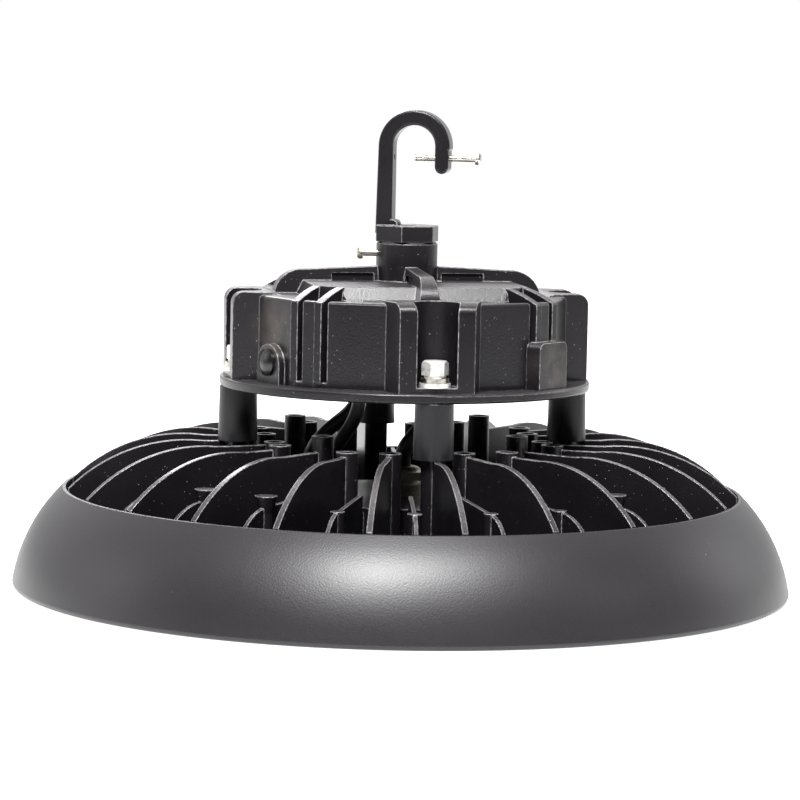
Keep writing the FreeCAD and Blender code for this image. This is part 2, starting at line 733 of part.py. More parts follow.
def base_screw_places():
    """Plan places of the screws that hold the base plate on the housing."""
    angles = (BASE_SCREW_ANGLE, -BASE_SCREW_ANGLE, 180 - BASE_SCREW_ANGLE, 180 + BASE_SCREW_ANGLE)
    return [polar(BASE_SCREW_CIRCLE, angle) for angle in angles]


def driver_base_plate():
    """Round plate under the housing, with pegs for the circuit board."""
    edge = BASE_PLATE_EDGE
    rise = quarter_rise(edge)
    outer = BASE_PLATE_RADIUS
    pieces = [revolved([
        (0, Z_BASE_PLATE), (outer - edge, Z_BASE_PLATE), (outer, Z_BASE_PLATE + edge, rise),
        (outer, Z_HOUSING - edge), (outer - edge, Z_HOUSING, rise), (0, Z_HOUSING),
    ])]
    for x in (-PEG_SPACING_X / 2, PEG_SPACING_X / 2):
        for y in (-PEG_SPACING_Y / 2, PEG_SPACING_Y / 2):
            pieces.append(cylinder(PEG_RADIUS, Z_HOUSING - LAP, Z_DRIVER_BOARD, x, y))
    body = fused(pieces)
    tools = []
    for angle in LEG_ANGLES.values():
        x, y = polar(LEG_CIRCLE, angle)
        tools.append(cylinder(BOLT_HOLE_RADIUS, Z_BASE_PLATE, Z_HOUSING, x, y))
    for x, y in base_screw_places():
        tools.append(cylinder(BASE_SCREW_RADIUS + SCREW_HOLE_GAP, Z_BASE_PLATE, Z_HOUSING, x, y))
    for route in [LAMP_LEAD_ROUTE, *SUPPLY_LEAD_ROUTES.values()]:
        tools.append(cylinder(WIRE_HOLE_RADIUS, Z_BASE_PLATE, Z_HOUSING, *route[0][:2]))
    return without(body, tools)


def base_screws():
    """Screws up through the base plate into the housing."""
    screw = turned(round_screw(
        BASE_SCREW_RADIUS, BASE_SCREW_LENGTH, BASE_SCREW_HEAD_RADIUS, BASE_SCREW_HEAD), 180, X_AXIS)
    return Part.makeCompound([moved(screw, x, y, Z_BASE_PLATE) for x, y in base_screw_places()])


def hexagon(flats, bottom, top, x=0.0, y=0.0, first_angle=30.0):
    """Upright hexagonal prism."""
    return moved(prism(regular(6, flats / 2, first_angle), bottom, top), x, y)


def frame_bolt():
    """Hexagon bolt of the leg on +X, from the housing lug down into the boss."""
    head = Z_BOLT_COLLAR + BOLT_COLLAR
    crown = Part.makeCone(
        BOLT_CROWN_RADIUS + BOLT_HEAD_HEIGHT, BOLT_CROWN_RADIUS, BOLT_HEAD_HEIGHT,
        Vector(LEG_CIRCLE, 0, head),
    )
    return fused([
        cylinder(BOLT_RADIUS, Z_LEG - BOLT_GRIP_BELOW, head + LAP, LEG_CIRCLE),
        cylinder(BOLT_COLLAR_RADIUS, Z_BOLT_COLLAR, head, LEG_CIRCLE),
        hexagon(BOLT_HEAD_FLATS, head, head + BOLT_HEAD_HEIGHT, LEG_CIRCLE).common(crown),
    ])


def flat_washer():
    """Flat washer of the leg on +X."""
    return ring(FLAT_WASHER_RADIUS, BOLT_HOLE_RADIUS, Z_LUG, Z_LUG + FLAT_WASHER, LEG_CIRCLE)


def spring_washer():
    """Split spring washer of the leg on +X."""
    bottom = Z_LUG + FLAT_WASHER
    body = ring(SPRING_WASHER_RADIUS, BOLT_HOLE_RADIUS, bottom, bottom + SPRING_WASHER, LEG_CIRCLE)
    half = SPRING_WASHER_SPLIT / 2
    length = SPRING_WASHER_RADIUS + LAP
    split = prism([(0, -half), (length, -half), (length, half), (0, half)], bottom, bottom + SPRING_WASHER)
    return body.cut(moved(turned(split, 60.0), LEG_CIRCLE, 0))


def housing_lug():
    """Block on +X that surrounds a bolt recess."""
    low = PLATEAU_FOOT
    top = Z_HOUSING + LUG_HEIGHT
    side = slab([
        (low, Z_HOUSING), (LUG_REACH, Z_HOUSING), (LUG_REACH, top - LUG_CORNER),
        (LUG_REACH - LUG_CORNER, top, quarter_rise(LUG_CORNER)), (LUG_REACH - LUG_CREST, top),
        (low, top - LUG_FALL),
    ], -LUG_ROOT_HALF_WIDTH, LUG_ROOT_HALF_WIDTH)
    plan = prism([
        (low, -LUG_ROOT_HALF_WIDTH), (LUG_REACH - LUG_FLARE, -LUG_ROOT_HALF_WIDTH),
        (LUG_REACH, -LUG_HALF_WIDTH), (LUG_REACH, LUG_HALF_WIDTH),
        (LUG_REACH - LUG_FLARE, LUG_ROOT_HALF_WIDTH), (low, LUG_ROOT_HALF_WIDTH),
    ], Z_HOUSING, top)
    return side.common(plan)


def housing_rib():
    """Arched rib on +X, wider at its root, with a slot over the plateau near the hub."""
    root = RIB_ROOT_WIDTH / 2
    foot = Z_HOUSING + HOUSING_HEIGHT - LAP
    top = Z_HOUSING + RIB_START_HEIGHT
    arch = slab([
        (0, top), (RIB_SHOULDER_RADIUS, Z_HOUSING + RIB_SHOULDER_HEIGHT),
        (RIB_END_RADIUS, Z_HOUSING + HOUSING_HEIGHT, -RIB_ARC_RISE), (RIB_END_RADIUS, foot), (0, foot),
    ], -root, root)
    taper = outline(in_front, [
        (-root, foot), (root, foot), (RIB_TOP_WIDTH / 2, top), (-RIB_TOP_WIDTH / 2, top),
    ]).extrude(Vector(RIB_END_RADIUS, 0, 0))
    slot_floor = Z_HOUSING + PLATEAU_HEIGHT
    slot_roof = slot_floor + RIB_SLOT_HEIGHT
    slot = slab([
        (RIB_SLOT_START, slot_floor), (RIB_SLOT_END, slot_floor),
        (RIB_SLOT_END, slot_roof), (RIB_SLOT_START, slot_roof),
    ], -root, root)
    return arch.common(taper).cut(slot)


def corner_fin(span):
    """Fin beside a corner pocket, in the corner's frame: +X along the diagonal."""
    end = HOUSING_CORNER
    nose = CORNER_FIN_NOSE
    start = PLATEAU_CORNER - LAP
    end_top = Z_HOUSING + CORNER_FIN_END_HEIGHT
    root_top = Z_HOUSING + CORNER_FIN_ROOT_HEIGHT
    return slab([
        (start, Z_LUG), (end, Z_LUG), (end, end_top), (end - nose, end_top + nose, quarter_rise(nose)),
        (PLATEAU_CORNER, root_top, CORNER_FIN_ARC_RISE), (start, root_top),
    ], span[0], span[1])


def quarters(shape):
    """A shape of the first quarter and its mirror images in the other three."""
    pair = [shape, shape.mirror(ORIGIN, X_AXIS)]
    return pair + [half.mirror(ORIGIN, Y_AXIS) for half in pair]


def corner_pockets():
    """Deep pockets and drain slots of the corner in the first quarter."""
    high = Z_HUB
    wall_face = HOUSING_APOTHEM - HOUSING_WALL
    diagonal = math.sqrt(0.5)
    face_angle = math.radians(67.5)

    def on_fin(b):
        """Plan place on the outer side of fin B, at a distance along the diagonal."""
        return (b - FIN_B[1]) * diagonal, (b + FIN_B[1]) * diagonal

    def on_wall(x):
        """Plan place on the inner side of the outer wall."""
        return x, (wall_face - x * math.cos(face_angle)) / math.sin(face_angle)

    inner_end = on_fin(CORNER_POCKET_START)
    reach = wall_face - FIN_B[1] * (math.sin(face_angle) - math.cos(face_angle)) * diagonal
    outer_end = on_fin(reach / ((math.sin(face_angle) + math.cos(face_angle)) * diagonal))
    side_pocket = prism([
        (SIDE_POCKET_START, SIDE_POCKET_INNER), (SIDE_POCKET_CORNER, SIDE_POCKET_INNER),
        inner_end, outer_end, on_wall(SIDE_POCKET_START),
    ], Z_LUG, high)
    back = HOUSING_CORNER - HOUSING_WALL
    middle = [
        (CORNER_POCKET_START, FIN_A[1]), (back, FIN_A[1]), (back, FIN_B[0]),
        (CORNER_POCKET_START, FIN_B[0]),
    ]
    outside = HOUSING_CORNER + HOUSING_WALL
    slots = []
    for low, width in ((FIN_B[1], CORNER_SLOT_A), (FIN_A[1], CORNER_SLOT_B)):
        start = back - HOUSING_WALL
        slots.append([(start, low), (outside, low), (outside, low + width), (start, low + width)])
    tools = [side_pocket]
    tools += [turned(prism(steps, Z_LUG, high), 45.0) for steps in [middle, *slots]]
    return tools


def plug_pad():
    """Arched pad on the housing wall around the plug, in the wall's frame: +X outwards."""
    centre = Z_HOUSING + PLUG_PAD_HEIGHT
    low = PLUG_PAD_OFFSET - PLUG_PAD_RADIUS
    high = PLUG_PAD_OFFSET + PLUG_PAD_RADIUS
    shape = outline(in_front, [
        (low, Z_HOUSING), (high, Z_HOUSING), (high, centre), (low, centre, PLUG_PAD_RADIUS),
    ]).extrude(Vector(PLUG_PAD_DEPTH + LAP, 0, 0))
    return turned(moved(shape, HOUSING_APOTHEM - LAP, 0), PLUG_WALL_ANGLE)


def plug_hole():
    """Hole for the stem of the rubber plug."""
    depth = PLUG_STEM_LENGTH + PLUG_HOLE_SPARE
    centre = Vector(PLUG_PAD_FACE - depth, PLUG_PAD_OFFSET, Z_HOUSING + PLUG_HEIGHT)
    return turned(Part.makeCylinder(PLUG_STEM_RADIUS, depth, centre, X_AXIS), PLUG_WALL_ANGLE)


def rubber_plug():
    """Domed plug with a flat rim and a stem."""
    sphere = (PLUG_RADIUS ** 2 + PLUG_RISE ** 2) / (2 * PLUG_RISE)
    chord = math.hypot(PLUG_RADIUS, PLUG_RISE)
    rise = sphere - math.sqrt(sphere ** 2 - (chord / 2) ** 2)
    body = revolved([
        (0, -PLUG_STEM_LENGTH), (PLUG_STEM_RADIUS, -PLUG_STEM_LENGTH), (PLUG_STEM_RADIUS, 0),
        (PLUG_RADIUS, 0), (PLUG_RADIUS, PLUG_RIM), (0, PLUG_RIM + PLUG_RISE, rise),
    ])
    lying = turned(body, 90, Y_AXIS)
    return turned(moved(lying, PLUG_PAD_FACE, PLUG_PAD_OFFSET, Z_HOUSING + PLUG_HEIGHT), PLUG_WALL_ANGLE)


def side_pad():
    """Plain pad across one corner of the housing, in the corner's frame: +X outwards."""
    low, high = SIDE_PAD_SPAN
    top = Z_HOUSING + SIDE_PAD_HEIGHT
    corner = SIDE_PAD_CORNER
    rise = quarter_rise(corner)
    shape = outline(in_front, [
        (low, Z_HOUSING), (high, Z_HOUSING), (high, top - corner), (high - corner, top, rise),
        (low + corner, top), (low, top - corner, rise),
    ]).extrude(Vector(SIDE_PAD_DEPTH, 0, 0))
    return turned(moved(shape, SIDE_PAD_REACH - SIDE_PAD_DEPTH, 0), SIDE_PAD_ANGLE)


def plateau():
    """Raised middle of the housing's top, with sloping sides."""
    level = Z_HOUSING + HOUSING_HEIGHT - LAP
    top = Z_HOUSING + PLATEAU_HEIGHT
    sections = []
    for half_width, corner, height in (
            (PLATEAU_FOOT, PLATEAU_CORNER_FOOT, level), (PLATEAU_APOTHEM, PLATEAU_CORNER, top)):
        points = [Vector(x, y, height) for x, y in trimmed_square(half_width, corner)]
        sections.append(Part.makePolygon(points + [points[0]]))
    return Part.makeLoft(sections, True, True)


def driver_housing():
    """Cast driver housing: walls, lugs, corner fins, plateau, ribs and hub in one piece."""
    top = Z_HOUSING + HOUSING_HEIGHT
    block = prism(regular(8, HOUSING_APOTHEM, 0.0), Z_HOUSING, top)
    block = block.common(prism(regular(4, HOUSING_CORNER, 0.0), Z_HOUSING, top))
    block = block.makeFillet(HOUSING_EDGE, top_edges(block, top))
    corner_tools = []
    for tool in corner_pockets():
        corner_tools += quarters(tool)
    block = without(block, corner_tools)
    fins = [turned(corner_fin(span), 45.0) for span in (FIN_A, FIN_B)]
    pieces = [block, plateau()]
    for fin in fins:
        pieces += quarters(fin)
    pieces += around(housing_lug(), LEG_ANGLES.values())
    pieces += around(housing_rib(), LEG_ANGLES.values())
    hub_foot = Z_HOUSING + PLATEAU_HEIGHT - LAP
    pieces.append(revolved([
        (0, hub_foot), (HUB_RADIUS, hub_foot), (HUB_RADIUS, Z_HUB - HUB_EDGE),
        (HUB_RADIUS - HUB_EDGE, Z_HUB), (0, Z_HUB),
    ]))
    pieces += [plug_pad(), side_pad()]
    body = fused(pieces)
    cavity_top = Z_HOUSING + PLATEAU_HEIGHT - CAVITY_ROOF
    tools = [
        prism(trimmed_square(CAVITY_HALF_WIDTH, CAVITY_CORNER), Z_HOUSING, cavity_top),
        ring(SEAL_RADIUS, SEAL_INNER_RADIUS, Z_HOUSING, Z_HOUSING + SEAL_THICKNESS),
        cylinder(PIVOT_RADIUS + SCREW_HOLE_GAP, Z_HUB - PIVOT_DEPTH - SCREW_END_GAP, Z_HUB),
        plug_hole(),
        Part.makeCylinder(GATE_RADIUS + GATE_CLEARANCE, HUB_RADIUS, Vector(-HUB_RADIUS, 0, Z_LOCK), X_AXIS),
    ]
    for angle in LEG_ANGLES.values():
        x, y = polar(LEG_CIRCLE, angle)
        tools.append(cylinder(LUG_RECESS_RADIUS, Z_LUG, Z_HUB, x, y))
        tools.append(cylinder(BOLT_HOLE_RADIUS, Z_HOUSING, Z_LUG, x, y))
    hole_top = Z_BASE_PLATE + BASE_SCREW_LENGTH + SCREW_END_GAP
    for x, y in base_screw_places():
        tools.append(cylinder(BASE_SCREW_RADIUS + SCREW_HOLE_GAP, Z_HOUSING, hole_top, x, y))
    return without(body, tools)


def driver_gasket():
    """Round seal in the groove under the housing."""
    return ring(SEAL_RADIUS, SEAL_INNER_RADIUS, Z_HOUSING, Z_HOUSING + SEAL_THICKNESS)


def driver_board():
    """Circuit board on the pegs of the base plate."""
    x = DRIVER_BOARD_X / 2
    y = DRIVER_BOARD_Y / 2
    return prism([(x, y), (-x, y), (-x, -y), (x, -y)], Z_DRIVER_BOARD, board_top())


def board_top():
    """Height of the circuit board's upper face."""
    return Z_DRIVER_BOARD + DRIVER_BOARD_THICKNESS


def transformer():
    """Transformer with two yokes, a round middle post and a coil between them."""
    x = CORE_X / 2
    y = CORE_Y / 2
    base = board_top()
    yoke = [(x, y), (-x, y), (-x, -y), (x, -y)]
    window = x - CORE_SIDE
    leg = [(x, y), (window, y), (window, -y), (x, -y)]
    body = fused([
        prism(yoke, base, base + CORE_YOKE),
        prism(yoke, base + CORE_HEIGHT - CORE_YOKE, base + CORE_HEIGHT),
        prism(leg, base, base + CORE_HEIGHT),
        turned(prism(leg, base, base + CORE_HEIGHT), 180.0),
        cylinder(window - COIL_GAP, base + CORE_YOKE, base + CORE_HEIGHT - CORE_YOKE),
    ])
    return moved(body, -TRANSFORMER_PLACE, 0)


def capacitors():
    """Three round capacitors that stand on the board."""
    base = board_top()
    top = base + CAPACITOR_HEIGHT
    edge = CAPACITOR_EDGE
    can = revolved([
        (0, base), (CAPACITOR_RADIUS, base), (CAPACITOR_RADIUS, top - edge),
        (CAPACITOR_RADIUS - edge, top), (0, top),
    ])
    pitch = 2 * CAPACITOR_RADIUS + CAPACITOR_GAP
    cans = [moved(can, CAPACITOR_PLACE, pitch * step) for step in (-1, 0, 1)]
    return Part.makeCompound(cans)


def hook_frame(shape):
    """Shape of the hook's own frame, turned to where the hook points."""
    return turned(shape, HOOK_TURN)


def hook():
    """Hexagonal foot and flat-sided hook, in one piece."""
    outer = HOOK_BEND_OUTER
    inner = outer - HOOK_SECTION
    centre = HOOK_BEND_CENTRE
    arm_top = Z_HOOK_BEND - HOOK_ARM_STEP
    arm_end = Z_HOOK_BEND - HOOK_ARM_LENGTH + HOOK_SECTION / 2
    arm_face = centre + outer - HOOK_ARM_FACING
    fillet = HOOK_FOOT_FILLET
    low = Z_HOOK_FOOT_TOP - HOOK_FOOT_HEIGHT / 2
    bar = slab([
        (HOOK_SHANK_FOOT, low), (centre - outer, Z_HOOK_BEND), (centre + outer, Z_HOOK_BEND, -outer),
        (centre + outer, arm_top), (arm_face, arm_top - HOOK_ARM_FACING),
        (arm_face, arm_end), (centre + inner, arm_end, -(arm_face - centre - inner) / 2),
        (centre + inner, Z_HOOK_BEND), (centre - inner, Z_HOOK_BEND, inner),
        (centre - inner, Z_HOOK_FOOT_TOP + fillet),
        (centre - inner + fillet, Z_HOOK_FOOT_TOP, -quarter_rise(fillet)),
        (centre - inner + fillet, low),
    ], -HOOK_THICKNESS / 2, HOOK_THICKNESS / 2)
    rounded = [edge for edge in bar.Edges
               if abs(edge.CenterOfMass.y) > HOOK_THICKNESS / 2 - 1e-6
               and edge.BoundBox.ZMin > Z_HOOK_FOOT_TOP + fillet + HOOK_EDGE_START]
    bar = bar.makeFillet(HOOK_EDGE, rounded)
    foot = hexagon(HOOK_FOOT_FLATS, Z_HOOK, Z_HOOK_FOOT_TOP)
    body = fused([foot, bar])
    gate_hole = Part.makeCylinder(
        GATE_RADIUS + GATE_CLEARANCE, 2 * outer, Vector(centre - inner - HOOK_SECTION / 2, 0, Z_GATE), X_AXIS)
    tools = [
        cylinder(PIVOT_RADIUS + PIVOT_CLEARANCE, Z_HOOK, Z_HOOK_FOOT_TOP),
        cylinder(PIVOT_COUNTERBORE, Z_PIVOT_HEAD - PIVOT_HEAD_GAP, Z_HOOK_FOOT_TOP + 2 * fillet),
        gate_hole,
    ]
    return hook_frame(without(body, tools))


def gate_screw():
    """Screw through the end of the hook that closes its mouth, shown backed out."""
    screw = turned(round_screw(GATE_RADIUS, GATE_LENGTH, GATE_HEAD_RADIUS, GATE_HEAD), 90, Y_AXIS)
    return hook_frame(moved(screw, GATE_HEAD_AT, 0, Z_GATE))


def hook_bolt():
    """Bolt on which the hook turns, screwed into the hub."""
    head_top = Z_PIVOT_HEAD + PIVOT_HEAD_HEIGHT
    body = fused([
        cylinder(PIVOT_RADIUS, Z_HUB - PIVOT_DEPTH, Z_PIVOT_HEAD + LAP),
        cylinder(PIVOT_HEAD_RADIUS, Z_PIVOT_HEAD, head_top),
    ])
    return body.cut(hexagon(PIVOT_SOCKET_FLATS, head_top - PIVOT_SOCKET_DEPTH, head_top))


def lock_screw():
    """Screw in the side of the hub that locks the hook bolt, shown backed out."""
    seat = HUB_RADIUS + LOCK_BACKED_OUT
    length = seat - PIVOT_RADIUS - LOCK_TIP_GAP
    screw = turned(round_screw(GATE_RADIUS, length, GATE_HEAD_RADIUS, GATE_HEAD), -90, Y_AXIS)
    return moved(screw, -seat, 0, Z_LOCK)


def lead(name, places, radius):
    """Round lead along straight runs joined by tangent arcs, one at each inner place."""
    route = [Vector(*place) for place in places]
    edges = []
    radii = []
    start = route[0]
    for before, corner, after in zip(route, route[1:], route[2:]):
        back = before - corner
        ahead = after - corner
        cut = BEND_SHARE * min(back.Length, ahead.Length)
        half_turn = (math.pi - back.getAngle(ahead)) / 2
        bend = cut / math.tan(half_turn)
        back.normalize()
        ahead.normalize()
        inward = back + ahead
        inward.normalize()
        first = corner + back * cut
        middle = corner + inward * (bend / math.cos(half_turn) - bend)
        last = corner + ahead * cut
        edges.append(Part.makeLine(start, first))
        edges.append(Part.Arc(first, middle, last).toShape())
        start = last
        radii.append(round(bend, 1))
    edges.append(Part.makeLine(start, route[-1]))
    spine = Part.Wire(edges)
    section = Part.Wire(Part.Circle(route[0], route[1] - route[0], radius).toShape())
    tube = spine.makePipeShell([section], True, True)
    expected = math.pi * radius ** 2 * spine.Length
    print(name, "bend radii", radii, "volume over section times length", round(tube.Volume / expected, 4))
    return tube


def flat_ended(tube, bottom, top):
    """Lead trimmed square to the faces that it meets."""
    reach = RIM_RADIUS
    layer = Part.makeBox(2 * reach, 2 * reach, top - bottom, Vector(-reach, -reach, bottom))
    return tube.common(layer)


def driver_glands():
    """Round clamps under the base plate, one about each lead."""
    rings = []
    leads = [(LAMP_LEAD_ROUTE, LAMP_LEAD_RADIUS)]
    leads += [(route, SUPPLY_LEAD_RADIUS) for route in SUPPLY_LEAD_ROUTES.values()]
    for route, radius in leads:
        bore = radius + GLAND_BORE_GAP
        x, y = route[0][:2]
        bottom = Z_BASE_PLATE - DRIVER_GLAND_HEIGHT
        rings.append(ring(bore + DRIVER_GLAND_WALL, bore, bottom, Z_BASE_PLATE, x, y))
    return Part.makeCompound(rings)


def sink_grommets():
    """Rubber rings on the pedestal, one about each supply lead."""
    bore = SUPPLY_LEAD_RADIUS + GLAND_BORE_GAP
    top = Z_PEDESTAL + GROMMET_HEIGHT
    return Part.makeCompound([
        ring(bore + GROMMET_WALL, bore, Z_PEDESTAL, top, x, y) for x, y in lead_ends()
    ])


def sink_gland_body():
    """Gland on the pedestal: a collar, a neck, and a thread down through the roof."""
    top = Z_PEDESTAL + SINK_GLAND_BODY_HEIGHT
    collar = Z_PEDESTAL + SINK_GLAND_COLLAR_HEIGHT
    body = fused([
        cylinder(SINK_GLAND_THREAD, Z_PEDESTAL - SINK_GLAND_THREAD_LENGTH, collar),
        cylinder(SINK_GLAND_COLLAR, Z_PEDESTAL, collar),
        cylinder(SINK_GLAND_NECK, collar - LAP, top),
    ])
    return body.cut(cylinder(WIRE_HOLE_RADIUS, Z_PEDESTAL - SINK_GLAND_THREAD_LENGTH, top))


def sink_gland_nut():
    """Domed hexagon nut that squeezes the lead in the gland."""
    bottom = Z_PEDESTAL + SINK_NUT_HEIGHT
    top = bottom + SINK_NUT_LENGTH
    hex_top = bottom + SINK_NUT_HEX
    body = fused([
        hexagon(SINK_NUT_FLATS, bottom, hex_top, first_angle=15.0),
        revolved([
            (0, hex_top), (SINK_NUT_CROWN_RADIUS, hex_top), (SINK_NUT_MOUTH, top, SINK_NUT_ARC_RISE),
            (0, top),
        ]),
    ])
    bore = cylinder(SINK_GLAND_NECK + SCREW_HOLE_GAP, bottom, Z_PEDESTAL + SINK_GLAND_BODY_HEIGHT)
    mouth = cylinder(LAMP_LEAD_RADIUS + GLAND_BORE_GAP, bottom, top)
    return without(body, [bore, mouth])


def build_all():
    """Every sub-part by the name of its node."""
    parts = {
        "outer_ring": outer_ring(),
        "ring_screws": ring_screws(),
        "lens_retainer": lens_retainer(),
        "retainer_screws": retainer_screws(),
        "lens": lens(),
        "lens_gasket": lens_gasket(),
        "led_board": led_board(),
        "board_screws": board_screws(),
        "led_chips": led_chips(),
        "heat_sink": heat_sink(),
        "driver_base_plate": driver_base_plate(),
        "base_screws": base_screws(),
        "driver_housing": driver_housing(),
        "driver_gasket": driver_gasket(),
        "driver_board": driver_board(),
        "transformer": transformer(),
        "capacitors": capacitors(),
        "rubber_plug": rubber_plug(),
        "driver_glands": driver_glands(),
        "sink_grommets": sink_grommets(),
        "sink_gland_body": sink_gland_body(),
        "sink_gland_nut": sink_gland_nut(),
        "hook_bolt": hook_bolt(),
        "lock_screw": lock_screw(),
        "hook": hook(),
        "gate_screw": gate_screw(),
    }
    for side, angle in LEG_ANGLES.items():
        parts["standoff_" + side] = turned(standoff(), angle)
    for name, piece in (
            ("frame_bolts", frame_bolt()), ("flat_washers", flat_washer()),
            ("spring_washers", spring_washer())):
        parts[name] = Part.makeCompound(around(piece, LEG_ANGLES.values()))
    parts["lamp_lead"] = flat_ended(
        lead("lamp_lead", LAMP_LEAD_ROUTE, LAMP_LEAD_RADIUS),
        Z_PEDESTAL + SINK_GLAND_BODY_HEIGHT, Z_BASE_PLATE)
    for name, route in SUPPLY_LEAD_ROUTES.items():
        tube = lead(name, route, SUPPLY_LEAD_RADIUS)
        parts[name] = flat_ended(tube, Z_PEDESTAL, Z_BASE_PLATE)
    return parts


os.makedirs("parts", exist_ok=True)
for node, shape in build_all().items():
    shape.exportStep("parts/" + node + ".step")
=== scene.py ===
"""High bay light: black castings, charcoal shade ring, bright bolts and a swivel hook."""
from __future__ import annotations

import json
import logging
import math
from abc import ABC, abstractmethod
from dataclasses import dataclass
from enum import Enum

import bpy
from mathutils import Matrix, Vector

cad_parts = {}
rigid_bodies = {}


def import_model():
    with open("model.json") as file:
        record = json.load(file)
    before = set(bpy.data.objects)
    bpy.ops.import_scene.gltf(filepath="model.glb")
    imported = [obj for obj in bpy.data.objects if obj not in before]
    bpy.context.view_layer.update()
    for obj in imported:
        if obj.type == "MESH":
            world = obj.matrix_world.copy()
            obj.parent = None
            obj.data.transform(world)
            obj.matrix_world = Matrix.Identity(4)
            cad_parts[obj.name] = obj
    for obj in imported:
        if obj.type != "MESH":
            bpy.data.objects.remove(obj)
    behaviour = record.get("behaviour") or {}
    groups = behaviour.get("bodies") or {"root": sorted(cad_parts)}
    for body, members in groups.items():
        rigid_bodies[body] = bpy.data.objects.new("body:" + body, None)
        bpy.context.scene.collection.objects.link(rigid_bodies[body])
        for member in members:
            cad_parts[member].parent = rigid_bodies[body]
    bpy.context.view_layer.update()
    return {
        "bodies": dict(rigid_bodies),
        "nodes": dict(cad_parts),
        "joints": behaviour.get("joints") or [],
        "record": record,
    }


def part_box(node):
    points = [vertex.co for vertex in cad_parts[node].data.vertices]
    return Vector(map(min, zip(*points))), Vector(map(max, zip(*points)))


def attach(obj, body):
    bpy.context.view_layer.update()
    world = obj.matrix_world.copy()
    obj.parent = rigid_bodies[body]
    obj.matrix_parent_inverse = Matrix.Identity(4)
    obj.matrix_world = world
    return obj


LOG = logging.getLogger("high_bay_light")
MM = 0.001
SMOOTH_BELOW = 30.0
SMOOTH_LEADS_BELOW = 40.0
QUARTERS = 4
Colour = tuple[float, float, float]
Output = bpy.types.NodeSocket


class Socket(Enum):
    """Inputs of the surface shader that the finishes set or feed."""

    COLOUR = "Base Color"
    METAL = "Metallic"
    ROUGH = "Roughness"
    SPECULAR = "Specular IOR Level"
    TRANSMISSION = "Transmission Weight"
    IOR = "IOR"
    NORMAL = "Normal"
    GLOW_COLOUR = "Emission Color"
    GLOW = "Emission Strength"


@dataclass(frozen=True)
class Pattern:
    """Noise over the object, and the band of its values that is spread from 0 to 1."""

    scale: float
    detail: float
    low: float = 0.0
    high: float = 1.0
    stretch: Colour | None = None


@dataclass(frozen=True)
class Spread:
    """How far a value goes below and above its middle over a pattern."""

    below: float
    above: float


def scaled(colour: Colour, gain: float) -> Colour:
    """Colour with each part times a gain."""
    return tuple(gain * part for part in colour)


class NodeGraph:
    """A node tree, with the sums and patterns that the finishes and the world use."""

    def __init__(self, tree: bpy.types.NodeTree, coordinates: str) -> None:
        """Take a tree over.

        Args:
            tree: The node tree.
            coordinates: Name of the texture coordinates that the patterns lie on.
        """
        self.tree = tree
        self.place = tree.nodes.new("ShaderNodeTexCoord").outputs[coordinates]

    def fill(self, node: bpy.types.Node, inputs: dict[str | int, object]) -> None:
        """Set or link a node's inputs.

        Args:
            node: The node.
            inputs: A plain value or another node's output for each input.
        """
        for key, value in inputs.items():
            if isinstance(value, Output):
                self.tree.links.new(value, node.inputs[key])
            else:
                node.inputs[key].default_value = value

    def math(self, operation: str, first: Output, second: Output | float | None = None) -> Output:
        """Result of a plain operation on one or two values."""
        node = self.tree.nodes.new("ShaderNodeMath")
        node.operation = operation
        self.fill(node, {0: first} if second is None else {0: first, 1: second})
        return node.outputs["Value"]

    def part(self, vector: Output, axis: str) -> Output:
        """One part of a vector, by the letter of its axis."""
        node = self.tree.nodes.new("ShaderNodeSeparateXYZ")
        self.fill(node, {"Vector": vector})
        return node.outputs[axis]

    def ramp(self, value: Output, start: float, end: float,
             low: float = 0.0, high: float = 1.0) -> Output:
        """Value mapped from low at start to high at end, and kept between them."""
        node = self.tree.nodes.new("ShaderNodeMapRange")
        self.fill(node, {"Value": value, "From Min": start, "From Max": end,
                         "To Min": low, "To Max": high})
        return node.outputs["Result"]


